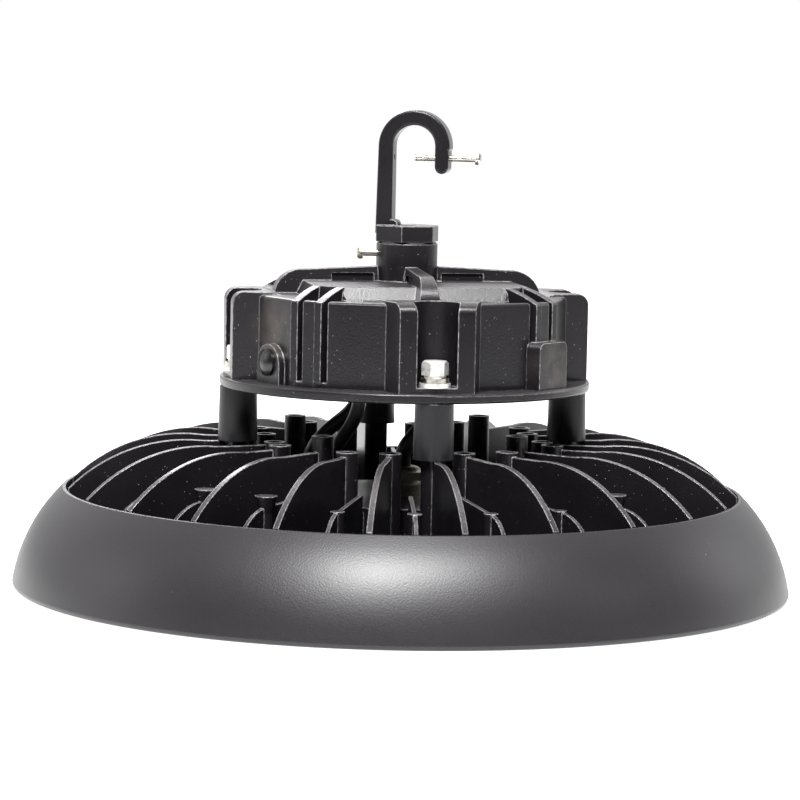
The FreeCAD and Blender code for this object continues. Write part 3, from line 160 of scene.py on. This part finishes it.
class SurfaceGraph(NodeGraph):
    """A material and the nodes that feed its surface shader."""

    def __init__(self, name: str) -> None:
        """Start a material with one surface shader.

        Args:
            name: Name of the material.
        """
        self.material = bpy.data.materials.new(name)
        self.material.use_nodes = True
        super().__init__(self.material.node_tree, "Object")
        self.shader = self.tree.nodes["Principled BSDF"]

    def set(self, socket: Socket, value: float | Colour) -> None:
        """Set a plain value on the shader."""
        self.shader.inputs[socket.value].default_value = (
            (*value, 1.0) if isinstance(value, tuple) else value
        )

    def feed(self, socket: Socket, output: Output) -> None:
        """Link an output to one of the shader's inputs."""
        self.tree.links.new(output, self.shader.inputs[socket.value])

    def noise(self, pattern: Pattern) -> Output:
        """Noise of a pattern, with its band left out."""
        node = self.tree.nodes.new("ShaderNodeTexNoise")
        self.fill(node, {"Vector": self.stretched(pattern.stretch),
                         "Scale": pattern.scale, "Detail": pattern.detail})
        return node.outputs["Fac"]

    def banded(self, pattern: Pattern) -> Output:
        """Noise of a pattern, with its band spread from 0 to 1."""
        return self.ramp(self.noise(pattern), pattern.low, pattern.high)

    def stretched(self, stretch: Colour | None) -> Output:
        """Object coordinates, scaled per axis where asked."""
        if stretch is None:
            return self.place
        node = self.tree.nodes.new("ShaderNodeMapping")
        self.fill(node, {"Vector": self.place, "Scale": stretch})
        return node.outputs["Vector"]

    def dots(self, scale: float, radius: float, core: float = 0.6) -> Output:
        """Round dots, one for each cell.

        Args:
            scale: Cells per metre.
            radius: Dot radius in cell widths.
            core: Share of the radius over which a dot is full.

        Returns:
            1 in a dot and 0 between the dots.
        """
        node = self.tree.nodes.new("ShaderNodeTexVoronoi")
        self.fill(node, {"Vector": self.place, "Scale": scale})
        return self.ramp(node.outputs["Distance"], radius, radius * core)

    def near(self, centre: Colour, radius: float, core: float = 0.35) -> Output:
        """Nearness to a place on the object.

        Args:
            centre: The place, in metres.
            radius: Distance beyond which the value is 0.
            core: Share of the radius within which the value is 1.

        Returns:
            The value, from 0 to 1.
        """
        node = self.tree.nodes.new("ShaderNodeVectorMath")
        node.operation = "DISTANCE"
        self.fill(node, {0: self.place, 1: centre})
        return self.ramp(node.outputs["Value"], radius, radius * core)

    def rounded(self, radius: float) -> tuple[Output, Output]:
        """Normal that rounds the edges off, and how far it turns away there.

        Args:
            radius: Radius of the edges in metres.

        Returns:
            The rounded normal, and a value from 0 on flat faces to 1 along the edges.
        """
        flat_above, edge_below, samples = 0.985, 0.84, 6
        bevel = self.tree.nodes.new("ShaderNodeBevel")
        bevel.samples = samples
        self.fill(bevel, {"Radius": radius})
        flat = self.tree.nodes.new("ShaderNodeNewGeometry").outputs["Normal"]
        compare = self.tree.nodes.new("ShaderNodeVectorMath")
        compare.operation = "DOT_PRODUCT"
        self.fill(compare, {0: bevel.outputs["Normal"], 1: flat})
        edge = self.ramp(compare.outputs["Value"], flat_above, edge_below)
        return bevel.outputs["Normal"], edge

    def mix(self, factor: Output, first: Colour | Output, second: Colour | Output) -> Output:
        """Colour between two colours."""
        node = self.tree.nodes.new("ShaderNodeMix")
        node.data_type = "RGBA"
        colours = [(*colour, 1.0) if isinstance(colour, tuple) else colour
                   for colour in (first, second)]
        self.fill(node, {"Factor": factor, 6: colours[0], 7: colours[1]})
        return node.outputs[2]

    def facing_up(self, start: float, end: float) -> Output:
        """1 where the surface faces up, 0 where it doesn't."""
        normal = self.tree.nodes.new("ShaderNodeNewGeometry").outputs["Normal"]
        return self.ramp(self.part(normal, "Z"), start, end)

    def roughen(self, value: Output, middle: float, spread: Spread) -> None:
        """Feed the shader's roughness, which goes over its spread with a value from 0 to 1."""
        low, high = middle - spread.below, middle + spread.above
        self.feed(Socket.ROUGH, self.ramp(value, 0.0, 1.0, low, high))

    def bump(self, height: Output, strength: float, depth: float,
             normal: Output | None = None) -> None:
        """Feed the shader's normal from a height pattern.

        Args:
            height: Height pattern, from 0 to 1.
            strength: Share of the bump that shows.
            depth: Height of the pattern in metres.
            normal: Normal that the pattern stands on, where it isn't the surface's own.
        """
        node = self.tree.nodes.new("ShaderNodeBump")
        self.fill(node, {"Height": height, "Strength": strength, "Distance": depth})
        if normal is not None:
            self.fill(node, {"Normal": normal})
        self.feed(Socket.NORMAL, node.outputs["Normal"])


@dataclass(frozen=True)
class Finish(ABC):
    """A surface finish, which makes its own material."""

    name: str

    @abstractmethod
    def build(self) -> bpy.types.Material:
        """Return the finished material."""


@dataclass(frozen=True)
class ReflectionPatch:
    """A lighter brownish patch on a painted face: painted reflection."""

    centre: Colour
    radius: float
    tone: Colour


@dataclass(frozen=True)
class SpeckledPaint(Finish):
    """Black powder coat with a fine grain, light specks, edges lightened as partly wear and partly
    painted highlight, and dust with painted highlight on what faces up.
    """

    base: Colour = (0.0056, 0.0046, 0.0060)
    patches: Pattern = Pattern(22.0, 4.0, 0.35, 0.8)
    patch_gain: float = 1.9
    rough: float = 0.29
    rough_spread: Spread = Spread(0.04, 0.08)
    specular: float = 0.44
    grain: Pattern = Pattern(1100.0, 2.0)
    grain_strength: float = 0.5
    grain_depth: float = 0.00013
    speck: Colour = (0.62, 0.60, 0.60)
    speck_scale: float = 520.0
    speck_radius: float = 0.088
    speck_areas: Pattern = Pattern(260.0, 1.0, 0.40, 0.66)
    # Lighter colour on what faces up: partly dust, partly painted highlight.
    dust_and_highlight: Colour = (0.13, 0.12, 0.118)
    dust_and_highlight_grains: Pattern = Pattern(1500.0, 1.0, 0.5, 0.72)
    dust_and_highlight_amount: float = 0.5
    dust_and_highlight_least: float = 0.25
    dust_and_highlight_from: float = -1.0
    dust_and_highlight_rise: float = 0.002
    facing_from: float = 0.45
    facing_full: float = 0.9
    # Lighter colour along the edges: partly edge wear, partly painted highlight.
    edge_wear_and_highlight: Colour = (0.40, 0.385, 0.39)
    edge_wear_and_highlight_breakup: Pattern = Pattern(700.0, 2.0, 0.38, 0.6)
    edge_wear_and_highlight_least: float = 0.25
    edge_radius: float = 0.0008
    # Noise that breaks up the painted reflection patches.
    reflection_breakup: Pattern = Pattern(130.0, 3.0, 0.30, 0.62)
    reflection_patches: tuple[ReflectionPatch, ...] = ()

    def build(self) -> bpy.types.Material:
        """Return the finished material."""
        graph = SurfaceGraph(self.name)
        normal, edge = graph.rounded(self.edge_radius)
        patch = graph.noise(self.patches)
        shade = graph.ramp(patch, self.patches.low, self.patches.high)
        colour = graph.mix(shade, self.base, scaled(self.base, self.patch_gain))
        reflection_noise = graph.banded(self.reflection_breakup)
        # Painted reflection: lighter brownish patches on the walls, broken up by noise.
        for reflection_patch in self.reflection_patches:
            amount = graph.math("MULTIPLY", graph.near(reflection_patch.centre, reflection_patch.radius), reflection_noise)
            colour = graph.mix(amount, colour, reflection_patch.tone)
        # Lighten what faces up: partly dust, partly painted highlight.
        colour = graph.mix(self.dust_and_highlight_cover(graph), colour, self.dust_and_highlight)
        # Lighten the edges: partly edge wear, partly painted highlight.
        edge_wear_and_highlight = graph.ramp(graph.banded(self.edge_wear_and_highlight_breakup), 0.0, 1.0, self.edge_wear_and_highlight_least, 1.0)
        colour = graph.mix(graph.math("MULTIPLY", edge, edge_wear_and_highlight), colour, self.edge_wear_and_highlight)
        specks = graph.dots(self.speck_scale, self.speck_radius)
        specks = graph.math("MULTIPLY", specks, graph.banded(self.speck_areas))
        graph.feed(Socket.COLOUR, graph.mix(specks, colour, self.speck))
        graph.roughen(patch, self.rough, self.rough_spread)
        graph.set(Socket.SPECULAR, self.specular)
        graph.bump(graph.noise(self.grain), self.grain_strength, self.grain_depth, normal)
        return graph.material

    def dust_and_highlight_cover(self, graph: SurfaceGraph) -> Output:
        """How much dust and painted highlight lies at each place on what faces up, from 0 to the
        paint's amount.
        """
        grains = graph.ramp(graph.banded(self.dust_and_highlight_grains), 0.0, 1.0, self.dust_and_highlight_least, 1.0)
        upward = graph.facing_up(self.facing_from, self.facing_full)
        level = graph.part(graph.place, "Z")
        high = graph.ramp(level, self.dust_and_highlight_from, self.dust_and_highlight_from + self.dust_and_highlight_rise)
        covered = graph.math("MULTIPLY", graph.math("MULTIPLY", upward, grains), high)
        return graph.math("MULTIPLY", covered, self.dust_and_highlight_amount)


@dataclass(frozen=True)
class SatinPaint(Finish):
    """Smooth satin paint with a fine mottle, a few light specks and painted highlight along the
    edges.
    """

    base: Colour = (0.0115, 0.0098, 0.0122)
    mottle: Pattern = Pattern(9.0, 5.0, 0.3, 0.7, (1.0, 1.0, 2.4))
    mottle_amount: float = 0.16
    flecks: Pattern = Pattern(1300.0, 2.0, 0.35, 0.7)
    fleck_amount: float = 0.35
    fleck_gain: float = 1.9
    edge_radius: float = 0.0006
    # Lighter colour along the edges: painted highlight.
    edge_highlight_amount: float = 0.5
    edge_highlight_gain: float = 2.6
    speck: Colour = (0.16, 0.15, 0.15)
    speck_scale: float = 120.0
    speck_radius: float = 0.045
    speck_areas: Pattern = Pattern(60.0, 1.0, 0.52, 0.6)
    rough: float = 0.40
    rough_spread: Spread = Spread(0.05, 0.07)
    specular: float = 0.5
    grain: Pattern = Pattern(1250.0, 3.0)
    grain_strength: float = 0.45
    grain_depth: float = 0.00013

    def build(self) -> bpy.types.Material:
        """Return the finished material."""
        graph = SurfaceGraph(self.name)
        normal, edge = graph.rounded(self.edge_radius)
        mottle = graph.noise(self.mottle)
        low = scaled(self.base, 1.0 - self.mottle_amount)
        high = scaled(self.base, 1.0 + self.mottle_amount)
        colour = graph.mix(graph.ramp(mottle, self.mottle.low, self.mottle.high), low, high)
        flecks = graph.math("MULTIPLY", graph.banded(self.flecks), self.fleck_amount)
        colour = graph.mix(flecks, colour, scaled(self.base, self.fleck_gain))
        # Painted highlight along the edges.
        edge_highlight = graph.math("MULTIPLY", edge, self.edge_highlight_amount)
        colour = graph.mix(edge_highlight, colour, scaled(self.base, self.edge_highlight_gain))
        specks = graph.dots(self.speck_scale, self.speck_radius)
        specks = graph.math("MULTIPLY", specks, graph.banded(self.speck_areas))
        graph.feed(Socket.COLOUR, graph.mix(specks, colour, self.speck))
        graph.roughen(mottle, self.rough, self.rough_spread)
        graph.set(Socket.SPECULAR, self.specular)
        graph.bump(graph.noise(self.grain), self.grain_strength, self.grain_depth, normal)
        return graph.material


@dataclass(frozen=True)
class Thread:
    """Fine ridges round the shank of a level screw."""

    level: float
    heading: float
    radius: float = 0.0016
    fade: float = 0.0002
    pitch: float = 0.0005
    depth: float = 0.00025
    strength: float = 0.4
    root: float = 0.5

    def ridges(self, graph: SurfaceGraph) -> Output:
        """Height pattern of the ridges, flat away from the shank."""
        move = graph.tree.nodes.new("ShaderNodeVectorMath")
        move.operation = "SUBTRACT"
        graph.fill(move, {0: graph.place, 1: (0.0, 0.0, self.level)})
        turn = graph.tree.nodes.new("ShaderNodeVectorRotate")
        turn.rotation_type = "Z_AXIS"
        graph.fill(turn, {"Vector": move.outputs["Vector"], "Angle": math.radians(-self.heading)})
        along, across, upward = (graph.part(turn.outputs["Vector"], axis) for axis in "XYZ")
        squares = [graph.math("MULTIPLY", side, side) for side in (across, upward)]
        reach = graph.math("POWER", graph.math("ADD", *squares), 0.5)
        shank = graph.ramp(reach, self.radius + self.fade, self.radius)
        wave = graph.math("SINE", graph.math("MULTIPLY", along, 2.0 * math.pi / self.pitch))
        return graph.math("MULTIPLY", graph.ramp(wave, 0.0, 1.0, self.root, 1.0), shank)


@dataclass(frozen=True)
class PlatedMetal(Finish):
    """Plated metal with fine brushing and darker spots."""

    thread: Thread | None = None
    base: Colour = (0.66, 0.63, 0.57)
    dark: Colour = (0.30, 0.27, 0.22)
    stains: Pattern = Pattern(260.0, 4.0, 0.5, 0.72)
    metal: float = 1.0
    rough: float = 0.26
    rough_spread: Spread = Spread(0.08, 0.16)
    brushing: Pattern = Pattern(700.0, 3.0, stretch=(1.0, 1.0, 6.0))
    brush_strength: float = 0.35
    brush_depth: float = 0.00006

    def build(self) -> bpy.types.Material:
        """Return the finished material."""
        graph = SurfaceGraph(self.name)
        graph.feed(Socket.COLOUR, graph.mix(graph.banded(self.stains), self.base, self.dark))
        graph.set(Socket.METAL, self.metal)
        brushed = graph.noise(self.brushing)
        graph.roughen(brushed, self.rough, self.rough_spread)
        if self.thread is None:
            graph.bump(brushed, self.brush_strength, self.brush_depth)
        else:
            graph.bump(self.thread.ridges(graph), self.thread.strength, self.thread.depth)
        return graph.material


@dataclass(frozen=True)
class SoftPolymer(Finish):
    """Rubber or plastic with a soft sheen and a faint texture."""

    base: Colour
    rough: float
    rough_spread: Spread = Spread(0.05, 0.08)
    tones: Pattern = Pattern(140.0, 3.0, 0.4, 0.8)
    tone_gain: float = 1.5
    tone_lift: float = 0.002
    specular: float = 0.5
    grain: Pattern = Pattern(600.0, 2.0)
    grain_strength: float = 0.3
    grain_depth: float = 0.00006

    def build(self) -> bpy.types.Material:
        """Return the finished material."""
        graph = SurfaceGraph(self.name)
        tone = graph.noise(self.tones)
        lighter = tuple(min(1.0, part * self.tone_gain + self.tone_lift) for part in self.base)
        shade = graph.ramp(tone, self.tones.low, self.tones.high)
        graph.feed(Socket.COLOUR, graph.mix(shade, self.base, lighter))
        graph.roughen(tone, self.rough, self.rough_spread)
        graph.set(Socket.SPECULAR, self.specular)
        graph.bump(graph.noise(self.grain), self.grain_strength, self.grain_depth)
        return graph.material


@dataclass(frozen=True)
class ClearCover(Finish):
    """Clear plastic with a faint haze."""

    base: Colour = (0.93, 0.95, 0.96)
    rough: float = 0.08
    rough_spread: Spread = Spread(0.04, 0.08)
    haze: Pattern = Pattern(35.0, 4.0)
    index: float = 1.58

    def build(self) -> bpy.types.Material:
        """Return the finished material."""
        graph = SurfaceGraph(self.name)
        graph.set(Socket.COLOUR, self.base)
        graph.set(Socket.TRANSMISSION, 1.0)
        graph.set(Socket.IOR, self.index)
        graph.roughen(graph.noise(self.haze), self.rough, self.rough_spread)
        return graph.material


@dataclass
class Model:
    """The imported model, and how its nodes get their finishes."""

    frame: dict

    def dress(self, finish: Finish, *names: str,
              smooth: float | None = SMOOTH_BELOW) -> bpy.types.Material:
        """Give some nodes one finish.

        Args:
            finish: The finish.
            names: Names of the nodes.
            smooth: Angle between faces, in degrees, below which the shading is smooth,
                or None where it stays flat.

        Returns:
            The material of the finish.
        """
        material = finish.build()
        for name in names:
            piece = self.frame["nodes"][name]
            piece.data.materials.clear()
            piece.data.materials.append(material)
            if smooth is not None:
                solo(piece)
                bpy.ops.object.shade_smooth_by_angle(angle=math.radians(smooth))
        return material


def solo(piece: bpy.types.Object) -> None:
    """Select one object alone and make it active."""
    bpy.ops.object.select_all(action="DESELECT")
    piece.select_set(True)
    bpy.context.view_layer.objects.active = piece


class Assembly(ABC):
    """Pieces of the light that belong together."""

    @abstractmethod
    def build(self, model: Model) -> None:
        """Dress the nodes and add what the scene makes.

        Args:
            model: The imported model.
        """


@dataclass
class RibWebs:
    """Webs that make shallow recesses of the slots in the four ribs of the housing."""

    slot_start: float = 15.0 * MM
    slot_end: float = 33.5 * MM
    slot_floor: float = 42.2 * MM
    slot_height: float = 3.3 * MM
    thickness: float = 4.2 * MM
    lap: float = 0.2 * MM

    def build(self, paint: bpy.types.Material) -> None:
        """Add one web in the middle of each rib.

        Args:
            paint: Paint of the housing.
        """
        housing_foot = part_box("driver_housing")[0][2]
        level = housing_foot + self.slot_floor + self.slot_height / 2
        middle = (self.slot_start + self.slot_end) / 2
        length = self.slot_end - self.slot_start + 2 * self.lap
        height = self.slot_height + 2 * self.lap
        size = Matrix.Diagonal((length, self.thickness, height, 1.0))
        for quarter in range(QUARTERS):
            bpy.ops.object.select_all(action="DESELECT")
            bpy.ops.mesh.primitive_cube_add(size=1.0, location=(0.0, 0.0, 0.0))
            web = bpy.context.active_object
            web.name = f"rib_web_{quarter}"
            turn = Matrix.Rotation(math.tau * quarter / QUARTERS, 4, "Z")
            web.data.transform(turn @ Matrix.Translation((middle, 0.0, level)) @ size)
            web.data.materials.append(paint)
            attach(web, "lamp")


@dataclass
class Castings(Assembly):
    """Cast and painted pieces: heat sink, housing, plates, legs, ring and hook."""

    # Lighter fin tops: partly dust, partly painted highlight.
    fins: Finish = SpeckledPaint(
        "fin_black", dust_and_highlight=(0.20, 0.19, 0.195), dust_and_highlight_amount=0.45, dust_and_highlight_from=0.0405)
    # Two lighter brownish patches on the walls: painted reflection.
    housing: Finish = SpeckledPaint("housing_black", reflection_patches=(
        ReflectionPatch((-0.0621, -0.0320, 0.1150), 0.017, (0.048, 0.036, 0.031)),
        ReflectionPatch((0.0560, -0.0540, 0.1020), 0.016, (0.055, 0.047, 0.042)),
    ))
    hook: Finish = SpeckledPaint(
        "hook_black", dust_and_highlight_amount=0.25, speck_radius=0.03, grain_depth=0.0001)
    legs: Finish = SatinPaint(
        "leg_black", base=(0.0095, 0.0088, 0.0100), rough=0.33, grain_depth=0.0001)
    ring: Finish = SatinPaint("ring_charcoal")

    def build(self, model: Model) -> None:
        """Dress the painted pieces and add the webs of the ribs."""
        model.dress(self.fins, "heat_sink")
        housing_paint = model.dress(self.housing, "driver_housing", "driver_base_plate")
        model.dress(self.hook, "hook")
        model.dress(self.legs, "standoff_front", "standoff_back", "standoff_left", "standoff_right")
        model.dress(self.ring, "outer_ring", "lens_retainer")
        RibWebs().build(housing_paint)


@dataclass
class Fasteners(Assembly):
    """Screws, bolts, washers and the cable gland."""

    bolts: Finish = PlatedMetal(
        "pale_zinc", base=(0.86, 0.85, 0.82), dark=(0.52, 0.50, 0.45), metal=0.55, rough=0.3)
    screws: Finish = PlatedMetal("bright_zinc")
    gate_screw: Finish = PlatedMetal(
        "gate_screw_zinc", thread=Thread(level=0.1876, heading=-19.6), rough=0.3)
    lock_screw: Finish = PlatedMetal(
        "lock_screw_zinc", thread=Thread(level=0.1460, heading=180.0), rough=0.3)
    # Nickel colour darker than its own, as painted shade for the gland deep among the fins.
    gland: Finish = PlatedMetal("dull_nickel_painted_shade", base=(0.42, 0.39, 0.34), rough=0.36)
    hook_bolt: Finish = SatinPaint("bolt_black", base=(0.02, 0.02, 0.02), rough=0.35)

    def build(self, model: Model) -> None:
        """Dress the metal pieces."""
        model.dress(self.bolts, "frame_bolts", "flat_washers")
        model.dress(self.screws, "spring_washers", "ring_screws", "retainer_screws",
                    "board_screws", "base_screws")
        model.dress(self.gate_screw, "gate_screw")
        model.dress(self.lock_screw, "lock_screw")
        model.dress(self.gland, "sink_gland_body", "sink_gland_nut")
        model.dress(self.hook_bolt, "hook_bolt")


@dataclass
class Leads(Assembly):
    """Leads, plug, grommets, glands and seals."""

    jacket: Finish = SoftPolymer("lead_jacket", (0.009, 0.009, 0.0095), 0.32)
    rubber: Finish = SoftPolymer("seal_rubber", (0.02, 0.02, 0.02), 0.6)
    plug: Finish = SoftPolymer("plug_rubber", (0.006, 0.006, 0.006), 0.25)
    nylon: Finish = SoftPolymer("gland_nylon", (0.012, 0.012, 0.012), 0.45)

    def build(self, model: Model) -> None:
        """Dress the rubber and plastic pieces."""
        model.dress(self.jacket, "lamp_lead", "lead_near", "lead_far", "lead_inner",
                    smooth=SMOOTH_LEADS_BELOW)
        model.dress(self.rubber, "sink_grommets", "driver_gasket", "lens_gasket")
        model.dress(self.plug, "rubber_plug")
        model.dress(self.nylon, "driver_glands")


@dataclass
class LightSource(Assembly):
    """Lens, board and light sources under the heat sink, and the driver in its housing."""

    cover: Finish = ClearCover("clear_cover")
    board: Finish = SoftPolymer("board_white", (0.72, 0.72, 0.70), 0.4)
    phosphor: Finish = SoftPolymer("chip_phosphor", (0.80, 0.62, 0.14), 0.3)
    circuit: Finish = SoftPolymer("board_green", (0.02, 0.11, 0.04), 0.4)
    winding: Finish = SoftPolymer("winding_resin", (0.20, 0.13, 0.03), 0.45)
    can: Finish = PlatedMetal("can_aluminium", base=(0.5, 0.5, 0.52))

    def build(self, model: Model) -> None:
        """Dress the pieces of the light source and the driver."""
        model.dress(self.cover, "lens")
        model.dress(self.board, "led_board", smooth=None)
        model.dress(self.phosphor, "led_chips", smooth=None)
        model.dress(self.circuit, "driver_board", smooth=None)
        model.dress(self.winding, "transformer")
        model.dress(self.can, "capacitors")


@dataclass(frozen=True)
class Lamp:
    """A square lamp: its place and width in metres, and its power in watts."""

    name: str
    place: tuple[float, float, float]
    width: float
    power: float

    def build(self, aim: Vector) -> None:
        """Add the lamp, facing a place on the object."""
        data = bpy.data.lights.new(self.name, "AREA")
        data.size = self.width
        data.energy = self.power
        lamp = bpy.data.objects.new(self.name, data)
        turn = (aim - Vector(self.place)).to_track_quat("-Z", "Y").to_matrix().to_4x4()
        lamp.matrix_world = Matrix.Translation(self.place) @ turn
        bpy.context.scene.collection.objects.link(lamp)


@dataclass
class Studio:
    """Camera, lamps, world and floor."""

    camera_place: tuple[float, float, float] = (-0.2525, -1.4317, 0.2267)
    camera_heading: float = -9.933
    camera_tilt: float = 84.297
    camera_roll: float = 1.108
    lens_length: float = 150.07
    sensor_width: float = 36.0
    world_level: float = 0.04
    world_dim_at: float = -0.25
    world_white_at: float = 0.55
    floor_width: float = 1.5
    floor_length: float = 3.4
    floor_middle: float = 1.15
    floor_level: float = -0.0002
    floor_tone: Colour = (0.6, 0.6, 0.6)
    floor_rough: float = 0.9
    floor_glow: float = 0.85
    aim: tuple[float, float, float] = (0.0, 0.0, 0.08)
    lamps: tuple[Lamp, ...] = (
        Lamp("key", (-0.9, -1.2, 1.6), 0.6, 2.5),
        Lamp("front_top", (-0.40, -1.02, 1.42), 0.4, 56.0),
        Lamp("front_high", (0.12, -0.95, 1.35), 0.25, 17.0),
        Lamp("fill", (1.4, -0.9, 0.9), 0.5, 2.0),
        Lamp("top", (0.1, 0.4, 1.7), 1.0, 6.0),
        Lamp("rear", (-0.1, 1.3, 1.0), 0.6, 14.0),
        Lamp("side_left", (-1.6, 0.3, 0.6), 0.7, 2.4),
        Lamp("side_right", (1.6, 0.4, 0.6), 0.7, 3.0),
    )

    def build(self) -> None:
        """Make the camera, the world, the floor and the lamps."""
        self.make_camera()
        self.make_world()
        self.make_floor()
        for lamp in self.lamps:
            lamp.build(Vector(self.aim))
        bpy.context.scene.view_settings.view_transform = "Standard"
        LOG.info("studio built")

    def make_camera(self) -> None:
        """Place the camera where the photograph was taken."""
        data = bpy.data.cameras.new("camera")
        data.lens = self.lens_length
        data.sensor_width = self.sensor_width
        camera = bpy.data.objects.new("camera", data)
        camera.matrix_world = (
            Matrix.Translation(self.camera_place)
            @ Matrix.Rotation(math.radians(self.camera_heading), 4, "Z")
            @ Matrix.Rotation(math.radians(self.camera_tilt), 4, "X")
            @ Matrix.Rotation(math.radians(self.camera_roll), 4, "Z")
        )
        bpy.context.scene.collection.objects.link(camera)
        bpy.context.scene.camera = camera

    def make_world(self) -> None:
        """White light that dims from behind the object to the camera's side of it."""
        world = bpy.data.worlds.new("studio")
        bpy.context.scene.world = world
        world.use_nodes = True
        graph = NodeGraph(world.node_tree, "Generated")
        backward = graph.part(graph.place, "Y")
        level = graph.ramp(backward, self.world_dim_at, self.world_white_at, self.world_level)
        background = graph.tree.nodes["Background"]
        graph.fill(background, {"Color": (1.0, 1.0, 1.0, 1.0), "Strength": level})

    def make_floor(self) -> None:
        """Pale floor that shows white and keeps the object's shadow."""
        bpy.ops.object.select_all(action="DESELECT")
        place = (0.0, self.floor_middle, self.floor_level)
        bpy.ops.mesh.primitive_plane_add(size=1.0, location=place)
        floor = bpy.context.active_object
        floor.name = "floor"
        floor.scale = (self.floor_width, self.floor_length, 1.0)
        bpy.ops.object.transform_apply(location=False, rotation=False, scale=True)
        graph = SurfaceGraph("floor_white")
        graph.set(Socket.COLOUR, self.floor_tone)
        graph.set(Socket.ROUGH, self.floor_rough)
        graph.set(Socket.SPECULAR, 0.0)
        path = graph.tree.nodes.new("ShaderNodeLightPath")
        seen = path.outputs["Is Camera Ray"]
        for kind in ("Is Glossy Ray", "Is Transmission Ray"):
            seen = graph.math("MAXIMUM", seen, path.outputs[kind])
        graph.set(Socket.GLOW_COLOUR, (1.0, 1.0, 1.0))
        graph.feed(Socket.GLOW, graph.math("MULTIPLY", seen, self.floor_glow))
        floor.data.materials.append(graph.material)


def main() -> None:
    """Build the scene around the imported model."""
    logging.basicConfig(level=logging.INFO, format="%(message)s")
    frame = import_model()
    model = Model(frame)
    Studio().build()
    for assembly in (Castings(), Fasteners(), Leads(), LightSource()):
        assembly.build(model)
        LOG.info("%s dressed", type(assembly).__name__)


if __name__ == "__main__":
    main()
